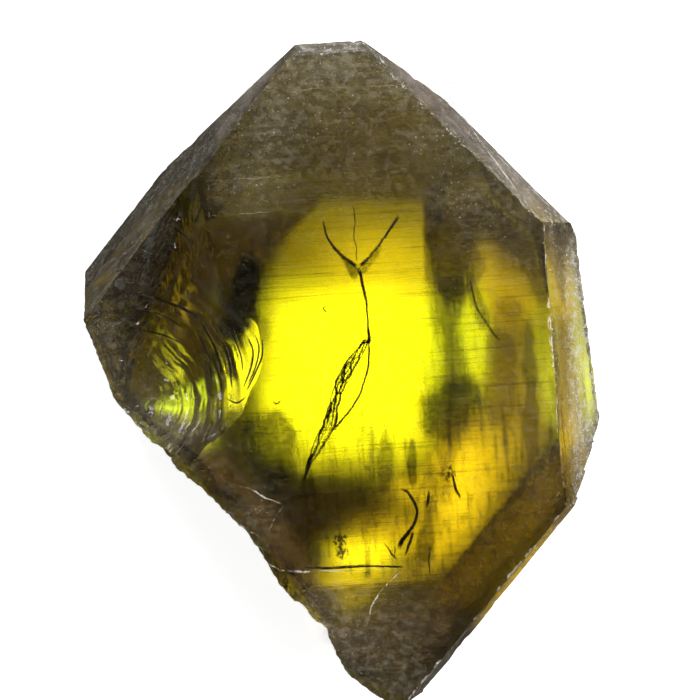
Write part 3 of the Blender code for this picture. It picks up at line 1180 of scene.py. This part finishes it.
BRAID = (
    (367, 339, 1.5),
    (361, 350, 4.0),
    (353, 362, 5.0),
    (345, 376, 5.5),
    (337, 392, 5.0),
    (333, 408, 4.5),
    (329, 424, 5.5),
    (320, 440, 5.0),
    (313, 456, 3.0),
    (308, 468, 1.2),
    (303, 482, 0.4),
)


def braid_strand(k):
    """One of the braid's dark strands, wandering from side to side of its ribbon."""
    rows = []
    path = spline(BRAID, 4.0)
    for i, (u, v, w) in enumerate(path):
        ahead = path[min(i + 1, len(path) - 1)] - path[max(i - 1, 0)]
        direction = ahead[:2] / np.linalg.norm(ahead[:2])
        swing = 1.25 * rough(i * 0.55, k * 9.0, 2.0, 4.0, 3) + 0.30 * (k - 2.5)
        swing = max(-1.1, min(1.1, swing))
        thick = 0.3 + 0.8 * max(0.0, 0.5 + rough(i * 0.8, k * 5.0, 7.0, 3.0, 2))
        rows.append((u + direction[1] * swing * w, v - direction[0] * swing * w, min(1.3, thick)))
    start, stop = (0, len(rows)) if k % 2 else (k, len(rows) - 3 * k - 1)
    return tuple(rows[start:stop])


# Cracks, crumbs, grain and milky zones inside the crystal, with sheets of painted shade and painted glow
def inclusions_and_painted_sheets():
    # Brown and near-black sheets of painted shade
    brown = zone_sheet("painted_shade_zone", (0.070, 0.043, 0.002, 1.0), (0.125, 0.085, 0.006, 1.0))
    black = zone_sheet("painted_deep_shade", (0.008, 0.008, 0.001, 1.0), (0.020, 0.018, 0.002, 1.0))
    for name, (outline, depth, dense, soft) in VEILS.items():
        veil(name, outline, depth, dense, soft, black if name in BLACK else brown)
    kinds = {
        "haze": zone_sheet("milky_zone", (0.34, 0.28, 0.25, 1.0), (0.54, 0.46, 0.40, 1.0), True),
        "clay": zone_sheet("milky_brown_zone", (0.34, 0.22, 0.13, 1.0), (0.56, 0.39, 0.25, 1.0), True),
        # Amber sheets that paint a glow of light through the crystal
        "glow": zone_sheet("painted_amber_glow", (0.44, 0.30, 0.05, 1.0), (0.62, 0.44, 0.10, 1.0), True),
    }
    for name, (outline, depth, dense, soft) in HAZES.items():
        veil(name, outline, depth, dense, soft, kinds[name.split("_")[0]])
    veil("growth_lines", MAIN_INSET, 0.7, 1.0, 6.0, skin_lines())
    grain = veil("back_grain", BACK_INSET, 21.3, 1.0, 8.0, back_grain())
    spots = np.array([seen_at((v.co.x / MM - OFFSET.x, v.co.y / MM - OFFSET.y, v.co.z / MM)) for v in grain.data.vertices])
    low = 0.10 + 0.90 * smoothstep(330, 480, spots[:, 1] + 0.35 * (spots[:, 0] - 340))
    grain.data.attributes["dense"].data.foreach_set("value", low.astype(np.float32))
    dirt = crumbs()
    veil("crumbs_foot", ((334, 538), (340, 534), (347, 537), (345, 545), (348, 553), (342, 559), (337, 555), (335, 547)), 6.0, 1.0, 6.0, dirt)
    veil("crumbs_right", ((444, 470), (450, 467), (455, 470), (454, 477), (447, 480), (443, 476)), 6.5, 1.0, 9.0, dirt)
    line = crack_material("crack_line", False)
    web = crack_material("crack_web", True)
    d = 7.0
    crack("crack_left_arm", ((323, 219, 0.6), (325, 230, 1.0), (329, 240, 1.1), (338, 252, 1.6), (349, 261, 1.9), (358, 268, 2.2)), d, line)
    crack("crack_right_arm", ((399, 216, 1.6), (394, 223, 1.5), (387, 234, 1.2), (379, 245, 1.0), (369, 257, 1.2), (359, 267, 2.0)), d, line)
    crack("crack_stem", ((358, 267, 2.4), (361, 276, 1.6), (363, 286, 1.5), (366, 299, 1.2), (367, 311, 0.9), (368, 322, 0.9)), d, line)
    crack("crack_stem_low", ((368, 316, 0.8), (368, 326, 1.0), (369, 334, 1.6), (369, 341, 1.9), (367, 347, 1.4)), d, line)
    crack("crack_braid", BRAID, d, web)
    for k in range(6):
        crack(f"crack_braid_{k}", braid_strand(k), d - 0.2 - 0.12 * k, line, wave=0.35, ends=(0.4, 0.8))
    crack("crack_strand", ((369, 344, 1.1), (369, 358, 1.0), (368, 368, 1.1), (364, 382, 1.0), (360, 394, 1.0), (350, 410, 1.1), (340, 422, 1.2), (333, 430, 1.2)), d - 1.0, line)
    crack("crack_s", ((400, 489, 0.8), (407, 492, 1.3), (413, 500, 1.6), (417, 510, 1.5), (415, 522, 1.6), (408, 533, 1.9), (401, 542, 2.4), (399, 549, 2.0)), 5.5, line)
    crack("crack_s_branch", ((413, 531, 1.0), (410, 542, 1.5), (405, 556, 0.8)), 5.5, line)
    crack("crack_small_a", ((453, 474, 0.8), (454, 482, 1.3), (457, 491, 1.4), (461, 499, 0.8)), 6.0, line)
    crack("crack_curve", ((470, 280, 0.5), (473, 294, 0.9), (477, 308, 1.0), (486, 322, 0.8), (494, 334, 0.9), (501, 342, 0.5)), 9.0, line)
    crack("crack_low_line", ((302, 567, 0.8), (330, 568, 1.2), (366, 566, 1.3), (404, 567, 0.8)), 3.0, line)
    crack("crack_hair", ((353, 205, 0.5), (355, 220, 0.6), (354, 236, 0.5), (356, 246, 0.5), (357, 262, 0.5)), 8.0, line)
    crack("crack_squiggle_a", ((326, 306, 0.4), (323, 308, 0.7), (325, 311, 0.6), (328, 314, 0.4)), 4.0, line)
    crack("crack_squiggle_b", ((272, 401, 0.4), (276, 404, 0.8), (280, 402, 0.6), (281, 399, 0.4)), 4.0, line)
    crack("crack_twig_a", ((384, 542, 0.3), (388, 548, 0.6), (391, 552, 0.8), (395, 557, 0.9), (398, 560, 0.3)), 5.0, line, wave=0.8)
    crack("crack_twig_b", ((393, 556, 0.3), (395, 550, 0.6), (394, 545, 0.3)), 5.0, line, wave=0.8)
    crack("crack_upright_a", ((429, 490, 0.8), (428, 500, 1.6), (427, 508, 0.8)), 6.0, line)
    crack("crack_upright_b", ((430, 545, 0.5), (429, 560, 0.8), (430, 575, 0.5)), 6.0, line)


def pale_material():
    """Crushed quartz along creases, steps and scratches: broken white grains. Along the scar's ribs the same pale
    ribbons are painted highlights.
    """
    m = Nodes("pale_marks_and_glints")
    span = m.attribute("span").outputs["Vector"]
    fade = m.attribute("fade").outputs["Fac"]
    split = m.add("ShaderNodeSeparateXYZ", {0: span})
    across = m.math("ABSOLUTE", split.outputs["Y"])
    grain = m.noise(m.scaled(span, (3.2, 1.6, 1.0)), 1.0, 3.0, 0.7)
    patches = m.noise(m.scaled(span, (0.45, 0.2, 1.0), (9.0, 0.0, 0.0)), 1.0, 3.0, 0.6)
    alpha = m.ramp(m.math("SUBTRACT", m.math("ADD", grain, m.math("MULTIPLY", patches, 0.9)), m.math("MULTIPLY", across, 0.35)), 0.74, 0.98)
    m.set(
        Base_Color=m.mix(grain, (0.52, 0.48, 0.38, 1.0), (0.86, 0.84, 0.77, 1.0)),
        Roughness=0.5,
        Specular_IOR_Level=0.4,
        Alpha=m.math("MULTIPLY", alpha, fade),
    )
    return m.material


# Pale marks just under the skin: route in picture pixels with half widths, and strength
MARKS = {
    "mark_top": (((262, 91, 0.5), (300, 90, 0.8), (340, 87, 0.6), (380, 86, 0.9), (430, 84, 0.5)), 0.6),
    "mark_step_a": (((211, 181, 0.6), (236, 179, 0.9), (262, 178, 0.9), (296, 175, 0.4)), 0.75),
    "mark_step_b": (((209, 216, 0.6), (240, 214, 0.8), (275, 212, 0.4)), 0.6),
    "mark_step_side": (((209, 183, 0.6), (208, 200, 0.8), (209, 218, 0.6)), 0.5),
    "mark_flake_a": (((225, 487, 0.5), (240, 486, 0.8), (252, 490, 1.0), (264, 497, 1.2), (283, 505, 0.8)), 0.9),
    "mark_flake_b": (((283, 506, 0.6), (277, 515, 1.0), (272, 524, 1.2), (268, 534, 0.8)), 0.9),
    "mark_flake_c": (((238, 524, 0.5), (250, 531, 1.0), (262, 539, 0.8)), 0.9),
    "mark_low": (((292, 571, 0.6), (320, 571, 0.9), (350, 571, 1.0), (380, 570, 0.9), (404, 571, 0.6)), 0.7),
    "mark_low_left": (((268, 564, 0.6), (282, 570, 1.8), (300, 572, 1.6), (312, 571, 0.6)), 0.8),
    "mark_tip": (((398, 573, 0.8), (389, 583, 1.4), (380, 592, 1.3), (372, 606, 1.2), (366, 626, 0.7)), 0.85),
    "mark_crease_right": (((544, 224, 0.8), (545, 246, 0.9), (546, 270, 0.8), (548, 300, 0.9), (550, 330, 0.9), (552, 360, 0.9), (556, 400, 0.8), (558, 450, 0.7)), 0.8),
    "mark_crease_upper": (((431, 72, 0.8), (450, 98, 1.0), (473, 130, 1.1), (496, 162, 1.1), (520, 195, 1.2), (539, 219, 1.0)), 0.9),
    "mark_notch": (((549, 217, 0.8), (552, 222, 1.2), (554, 226, 0.9), (556, 220, 1.1), (558, 216, 0.7)), 1.0),
    "mark_chip_left": (((285, 60, 1.0), (288, 66, 2.2), (284, 72, 2.0), (281, 78, 0.8)), 1.0),
    "mark_chip_middle": (((292, 92, 0.8), (297, 93, 1.6), (294, 97, 1.2), (298, 99, 0.8)), 1.0),
    "mark_chip_right": (((379, 57, 0.8), (383, 62, 2.0), (388, 66, 1.4)), 1.0),
    "mark_scratch_left": (((209, 438, 0.5), (219, 431, 0.7), (230, 421, 0.5)), 0.7),
}


def on_shell(u, v, lift):
    """The crystal-frame point of the shell-shaped scar that shows at (u, v), raised by lift."""
    depth = 6.0
    for _ in range(4):
        p = at(u, v, depth, inside=False)
        radius = math.hypot(p.x - STRIKE.x, p.y - STRIKE.y)
        bearing = math.degrees(math.atan2(p.y - STRIKE.y, p.x - STRIKE.x))
        depth = max(0.0, THICKNESS - shell_height(radius, bearing))
    p.z += lift
    return p


def scar_line(name, route, lift, material):
    """A narrow ribbon that follows the scar's surface. Route rows are picture u, v and half width in pixels."""
    path = spline(route, 2.0)
    verts, faces, span, fade = [], [], [], []
    for i, (u, v, w) in enumerate(path):
        ahead = path[min(i + 1, len(path) - 1)] - path[max(i - 1, 0)]
        side = np.array([ahead[1], -ahead[0]]) / max(1e-6, np.linalg.norm(ahead[:2]))
        for j, t in enumerate((-1.0, 0.0, 1.0)):
            q = np.array([u, v]) + side * w * t
            verts.append(on_shell(q[0], q[1], lift))
            span.append((i * 2.0 / 6.0, t, lift))
            fade.append(min(1.0, i / 3.0, (len(path) - 1 - i) / 3.0))
        if i:
            a = (i - 1) * 3
            faces += [(a, a + 1, a + 4, a + 3), (a + 1, a + 2, a + 5, a + 4)]
    return piece(name, verts, faces, {"span": span, "fade": fade}, material)


# Painted shade: dark ribbons along the scar's ribs, in picture pixels with half widths
SCAR_RIB_SHADE = (
    ((128, 292, 0.6), (148, 296, 0.9), (166, 302, 1.2), (184, 309, 1.5), (199, 319, 1.2)),
    ((126, 306, 0.5), (146, 310, 0.8), (166, 317, 0.8), (180, 326, 0.6)),
    ((124, 330, 0.5), (146, 331, 0.9), (166, 336, 0.8), (182, 344, 0.7)),
    ((200, 320, 0.8), (210, 338, 1.1), (218, 356, 1.1), (222, 376, 0.8)),
    ((196, 330, 0.6), (205, 348, 0.9), (210, 366, 0.9), (212, 384, 0.6)),
    ((206, 318, 0.6), (221, 340, 1.0), (229, 362, 1.1), (232, 388, 0.8)),
    ((222, 318, 0.5), (234, 338, 0.8), (241, 356, 0.8), (243, 372, 0.5)),
    ((262, 338, 0.6), (262, 356, 0.9), (254, 376, 0.9), (246, 392, 0.6)),
    ((247, 336, 0.5), (253, 350, 0.9), (251, 368, 0.9), (243, 389, 0.5)),
    ((255, 334, 0.5), (259, 348, 0.8), (256, 366, 0.8), (248, 385, 0.5)),
    ((226, 398, 0.5), (237, 403, 0.9), (247, 396, 0.5)),
    ((104, 312, 0.4), (122, 316, 0.8), (140, 322, 0.5)),
    ((112, 272, 0.4), (132, 270, 0.9), (150, 277, 0.5)),
    ((116, 284, 0.4), (136, 283, 0.9), (157, 289, 0.5)),
    ((130, 254, 0.4), (149, 257, 0.9), (167, 267, 0.5)),
    ((145, 238, 0.4), (162, 241, 0.9), (179, 251, 0.5)),
    ((160, 223, 0.4), (176, 229, 0.8), (190, 240, 0.5)),
)
# Painted highlights: pale ribbons along the scar's sharpest ribs
SCAR_RIB_HIGHLIGHTS = (
    ((203, 322, 0.4), (213, 340, 0.7), (221, 358, 0.8), (226, 380, 0.6)),
    ((212, 322, 0.4), (224, 342, 0.6), (231, 362, 0.7), (234, 384, 0.5)),
    ((232, 326, 0.4), (240, 344, 0.6), (246, 360, 0.6), (247, 372, 0.4)),
    ((244, 330, 0.4), (251, 348, 0.9), (250, 367, 0.9), (242, 388, 0.5)),
    ((252, 332, 0.4), (257, 348, 0.8), (254, 367, 0.8), (247, 386, 0.5)),
    ((218, 384, 0.4), (223, 396, 0.8), (222, 408, 0.5)),
    ((230, 390, 0.4), (236, 398, 0.8), (240, 405, 0.4)),
    ((174, 344, 0.5), (180, 356, 1.0), (182, 370, 0.8), (180, 384, 0.5)),
    ((186, 392, 0.5), (196, 402, 1.0), (198, 414, 0.8), (194, 426, 0.5)),
    ((206, 390, 0.4), (212, 404, 0.9), (211, 418, 0.7), (206, 430, 0.4)),
    ((140, 248, 0.3), (146, 252, 0.6), (152, 254, 0.3)),
    ((168, 216, 0.3), (174, 219, 0.6), (180, 221, 0.3)),
    ((120, 276, 0.3), (127, 279, 0.6), (134, 281, 0.3)),
)


def marks():
    """Pale crushed marks on the creases and steps, painted shade along the scar's ribs, and painted highlights on its
    sharpest ribs.
    """
    pale = pale_material()
    for name, (route, strength) in MARKS.items():
        made = crack(name, route, 0.32, pale, lean=0.0, ends=(1.0, 1.0), wave=0.35)
        values = np.empty(len(made.data.vertices), np.float32)
        made.data.attributes["fade"].data.foreach_get("value", values)
        made.data.attributes["fade"].data.foreach_set("value", values * strength)
    dark = bpy.data.materials["crack_line"]
    for k, route in enumerate(SCAR_RIB_SHADE):
        scar_line(f"scar_rib_shade_{k}", route, -0.12, dark)
    for k, route in enumerate(SCAR_RIB_HIGHLIGHTS):
        made = scar_line(f"scar_glint_{k}", route, -0.08, pale)
        values = np.empty(len(made.data.vertices), np.float32)
        made.data.attributes["fade"].data.foreach_get("value", values)
        made.data.attributes["fade"].data.foreach_set("value", values * 0.6)


# ---------------------------------------------------------------- stage, light and camera


def in_row(p):
    return (Vector((p[0], p[1], p[2])) + OFFSET) * MM


def floor_material():
    """White paper. What the crystal reflects and bends of it is dimmer than what the camera sees."""
    m = Nodes("studio_floor")
    m.material.cycles.emission_sampling = "NONE"
    where = m.add("ShaderNodeNewGeometry").outputs["Position"]
    grain = m.noise(where, 240.0, 3.0)
    path = m.add("ShaderNodeLightPath").outputs["Is Camera Ray"]
    m.set(
        Base_Color=m.mix(
            path,
            (0.08, 0.078, 0.072, 1.0),
            m.mix(m.ramp(grain, 0.3, 0.7), (0.88, 0.88, 0.885, 1.0), (0.90, 0.90, 0.90, 1.0)),
        ),
        Roughness=0.85,
        Specular_IOR_Level=0.0,
        Emission_Color=(1.0, 1.0, 1.0, 1.0),
        Emission_Strength=m.math("MULTIPLY", path, 0.90),
    )
    return m.material


def pad_material():
    """The pad's own light, worked out at each of its vertices. Seen straight on, it is floor."""
    m = Nodes("light_pad")
    m.material.cycles.emission_sampling = "NONE"
    path = m.add("ShaderNodeLightPath").outputs["Is Camera Ray"]
    m.set(
        Base_Color=m.mix(path, (0.5, 0.5, 0.5, 1.0), (0.89, 0.89, 0.89, 1.0)),
        Roughness=0.85,
        Specular_IOR_Level=0.0,
        Emission_Color=m.mix(path, m.attribute("light").outputs["Vector"], (0.9, 0.9, 0.9, 1.0)),
        Emission_Strength=1.0,
    )
    return m.material


# The lobes' middles and half sizes in picture pixels, their power, how square they are, and the warm share
LOBES = (
    (346, 373, 79, 82, 6.0, 4.5, 0.3),
    (384, 268, 60, 40, 1.5, 2.6, 0.8),
    (432, 340, 20, 50, 2.0, 2.6, 0.1),
    (472, 342, 18, 52, 2.7, 2.6, 0.1),
    (508, 296, 34, 32, 1.2, 2.2, 1.0),
    (486, 262, 14, 24, 0.7, 2.2, 1.0),
    (542, 346, 16, 46, 1.1, 2.4, 0.2),
    (562, 390, 16, 40, 3.8, 2.2, 0.2),
    (505, 400, 44, 70, 0.75, 2.4, 1.0),
    (395, 452, 40, 44, 0.3, 2.4, 0.6),
    (466, 474, 34, 42, 2.8, 2.4, 1.0),
    (392, 534, 38, 20, 1.5, 2.2, 1.0),
    (410, 490, 24, 16, 1.3, 2.2, 1.0),
    (434, 554, 20, 16, 0.9, 2.2, 1.0),
    (362, 554, 30, 15, 4.4, 2.4, 0.6),
    (462, 526, 36, 36, 1.7, 2.2, 1.0),
    (488, 546, 28, 22, 0.8, 2.2, 1.0),
    (352, 594, 36, 26, 2.4, 2.2, 0.8),
    (420, 590, 44, 24, 0.8, 2.2, 1.0),
    (518, 464, 32, 44, 0.8, 2.4, 1.0),
    (266, 392, 8, 14, 0.8, 2.2, 0.0),
    (190, 420, 22, 12, 2.6, 2.2, 0.0),
    (204, 440, 14, 9, 1.0, 2.2, 0.15),
    (186, 374, 7, 14, 1.4, 2.2, 0.3),
    (214, 402, 5, 16, 2.2, 2.2, 0.0),
    (198, 400, 4, 12, 1.8, 2.2, 0.0),
    (177, 354, 7, 22, 1.0, 2.4, 0.4),
    (160, 318, 20, 6, 0.4, 2.2, 1.0),
    (158, 362, 16, 30, 0.10, 2.2, 0.8),
    (206, 290, 6, 24, 0.6, 2.4, 1.0),
)
# The pad's light over the middle, and the warmer light that hands and wood throw round it
COOL = (0.66, 1.0, 0.50)
WARM = (1.0, 0.86, 0.55)
PAD = (
    (112, 336),
    (150, 270),
    (205, 222),
    (262, 186),
    (540, 190),
    (580, 290),
    (586, 430),
    (538, 520),
    (452, 606),
    (336, 620),
    (292, 566),
    (230, 484),
    (172, 444),
    (136, 400),
)
WINDOW = (
    (346, 201),
    (322, 204),
    (304, 218),
    (288, 236),
    (274, 262),
    (273, 300),
    (270, 345),
    (264, 376),
    (260, 400),
    (260, 440),
    (280, 458),
    (305, 474),
    (350, 478),
    (400, 470),
    (424, 440),
    (424, 280),
    (424, 201),
)


def signed_distance(points, outline):
    """Distance in pixels to an outline, positive inside it."""
    rim = np.array(outline, float)
    return rim_distance(points, rim) * np.where(inside_polygon(points[:, 0], points[:, 1], rim), 1, -1)


def light_pad():
    """A light pad on the floor under the crystal, its glow the sum of soft lobes."""
    step = 2.0
    outline = np.array(PAD, float)
    gu = np.arange(outline[:, 0].min(), outline[:, 0].max() + step, step)
    gv = np.arange(outline[:, 1].min(), outline[:, 1].max() + step, step)
    uu, vv = np.meshgrid(gu, gv)
    points = np.stack([uu.ravel(), vv.ravel()], 1)
    inside = signed_distance(points, PAD)
    soft = 1.2 + 9.0 * (1 - smoothstep(262, 320, points[:, 0]))
    window = smoothstep(-soft, soft, signed_distance(points, WINDOW))
    base = 0.02 + 0.40 * window
    cool, warm = 0.30 * base, 0.80 * base
    for u, v, ru, rv, power, square, share in LOBES:
        r = np.abs((points[:, 0] - u) / ru) ** square + np.abs((points[:, 1] - v) / rv) ** square
        lobe = power * np.exp(-r)
        cool = cool + (1.0 - share) * lobe
        warm = warm + share * lobe
    light = cool[:, None] * np.array(COOL) + warm[:, None] * np.array(WARM)
    far = np.maximum(
        smoothstep(430, 540, points[:, 0]),
        smoothstep(900, 1000, points[:, 0] + points[:, 1]),
    )
    light *= smoothstep(0.0, 16.0 + 34.0 * far, inside)[:, None]
    wide = len(gu)
    grid = np.arange(len(points)).reshape(len(gv), wide)
    quads = np.stack([grid[:-1, :-1], grid[:-1, 1:], grid[1:, 1:], grid[1:, :-1]], -1).reshape(-1, 4)
    quads = quads[(inside[quads] > 0).all(1)]
    keep = np.unique(quads)
    number = np.full(len(points), -1)
    number[keep] = np.arange(len(keep))
    verts = [in_row(at(u, v, 23.3)) for u, v in points[keep]]
    mesh = bpy.data.meshes.new("light_pad")
    mesh.from_pydata(verts, [], number[quads].tolist())
    attribute = mesh.attributes.new("light", "FLOAT_VECTOR", "POINT")
    attribute.data.foreach_set("vector", light[keep].astype(np.float32).ravel())
    mesh.materials.append(pad_material())
    pad = bpy.data.objects.new("light_pad", mesh)
    bpy.context.scene.collection.objects.link(pad)
    return pad


def plane(name, size, z, material):
    mesh = bpy.data.meshes.new(name)
    s = size / 2
    mesh.from_pydata([(-s, -s, z), (s, -s, z), (s, s, z), (-s, s, z)], [], [(0, 1, 2, 3)])
    mesh.materials.append(material)
    made = bpy.data.objects.new(name, mesh)
    bpy.context.scene.collection.objects.link(made)
    return made


def softbox(name, azimuth, elevation, distance, size, watts, colour=(1, 1, 1)):
    """An area light that faces the crystal. Azimuth 0 is +X and 90 is +Y, in the row frame."""
    data = bpy.data.lights.new(name, "AREA")
    data.shape = "RECTANGLE"
    data.size, data.size_y = size
    data.energy = watts
    data.color = colour
    light = bpy.data.objects.new(name, data)
    a, e = math.radians(azimuth), math.radians(elevation)
    light.location = Vector((math.cos(a) * math.cos(e), math.sin(a) * math.cos(e), math.sin(e))) * distance
    light.rotation_euler = (-light.location).to_track_quat("-Z", "Y").to_euler()
    bpy.context.scene.collection.objects.link(light)
    return light


def world(low, high):
    """Even grey light, low overhead and brighter towards the horizon."""
    w = bpy.data.worlds.new("studio")
    bpy.context.scene.world = w
    w.use_nodes = True
    tree = w.node_tree
    back = tree.nodes["Background"]
    coords = tree.nodes.new("ShaderNodeTexCoord")
    split = tree.nodes.new("ShaderNodeSeparateXYZ")
    span = tree.nodes.new("ShaderNodeMapRange")
    span.inputs["From Min"].default_value = 0.12
    span.inputs["From Max"].default_value = 0.62
    span.inputs["To Min"].default_value = high
    span.inputs["To Max"].default_value = low
    tree.links.new(coords.outputs["Generated"], split.inputs[0])
    tree.links.new(split.outputs["Z"], span.inputs["Value"])
    side = tree.nodes.new("ShaderNodeMapRange")
    side.inputs["From Min"].default_value = -0.75
    side.inputs["From Max"].default_value = -0.05
    side.inputs["To Min"].default_value = 0.30
    side.inputs["To Max"].default_value = 1.0
    tree.links.new(split.outputs["X"], side.inputs["Value"])
    both = tree.nodes.new("ShaderNodeMath")
    both.operation = "MULTIPLY"
    tree.links.new(span.outputs[0], both.inputs[0])
    tree.links.new(side.outputs[0], both.inputs[1])
    tree.links.new(both.outputs[0], back.inputs["Strength"])
    back.inputs["Color"].default_value = (0.97, 0.98, 1.0, 1.0)


def camera():
    data = bpy.data.cameras.new("camera")
    data.sensor_width = 36.0
    data.lens = 36.0 * EYE / (700 / 6.0)
    data.clip_start = 0.01
    cam = bpy.data.objects.new("camera", data)
    spot = in_row((0.0, 0.0, THICKNESS + EYE))
    cam.location = spot
    cam.rotation_euler = (0.0, 0.0, -TILT)
    bpy.context.scene.collection.objects.link(cam)
    bpy.context.scene.camera = cam


# ---------------------------------------------------------------- the scene

scene = bpy.context.scene
scene.view_settings.view_transform = "Standard"
scene.view_settings.look = "None"
scene.cycles.max_bounces = 10
scene.cycles.transmission_bounces = 9
scene.cycles.glossy_bounces = 6
scene.cycles.transparent_max_bounces = 16
scene.cycles.diffuse_bounces = 2
scene.cycles.caustics_reflective = True
scene.cycles.caustics_refractive = True
scene.cycles.blur_glossy = 0.3
scene.cycles.sample_clamp_indirect = 6.0
scene.cycles.use_denoising = True
scene.cycles.adaptive_threshold = 0.03

camera()

mesh = crystal_mesh()
mesh.materials.append(citrine())
crystal = bpy.data.objects.new("citrine_crystal_clear", mesh)
scene.collection.objects.link(crystal)
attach(crystal, "root")
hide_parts("citrine_crystal")
inclusions_and_painted_sheets()
marks()

floor = plane("studio_floor", 3.0, -0.0006, floor_material())
light_pad()
world(0.02, 0.72)
softbox("key_right", 20, 40, 0.9, (0.5, 0.7), 9.0)
softbox("fill_top", 95, 36, 1.0, (0.7, 0.4), 5.0)
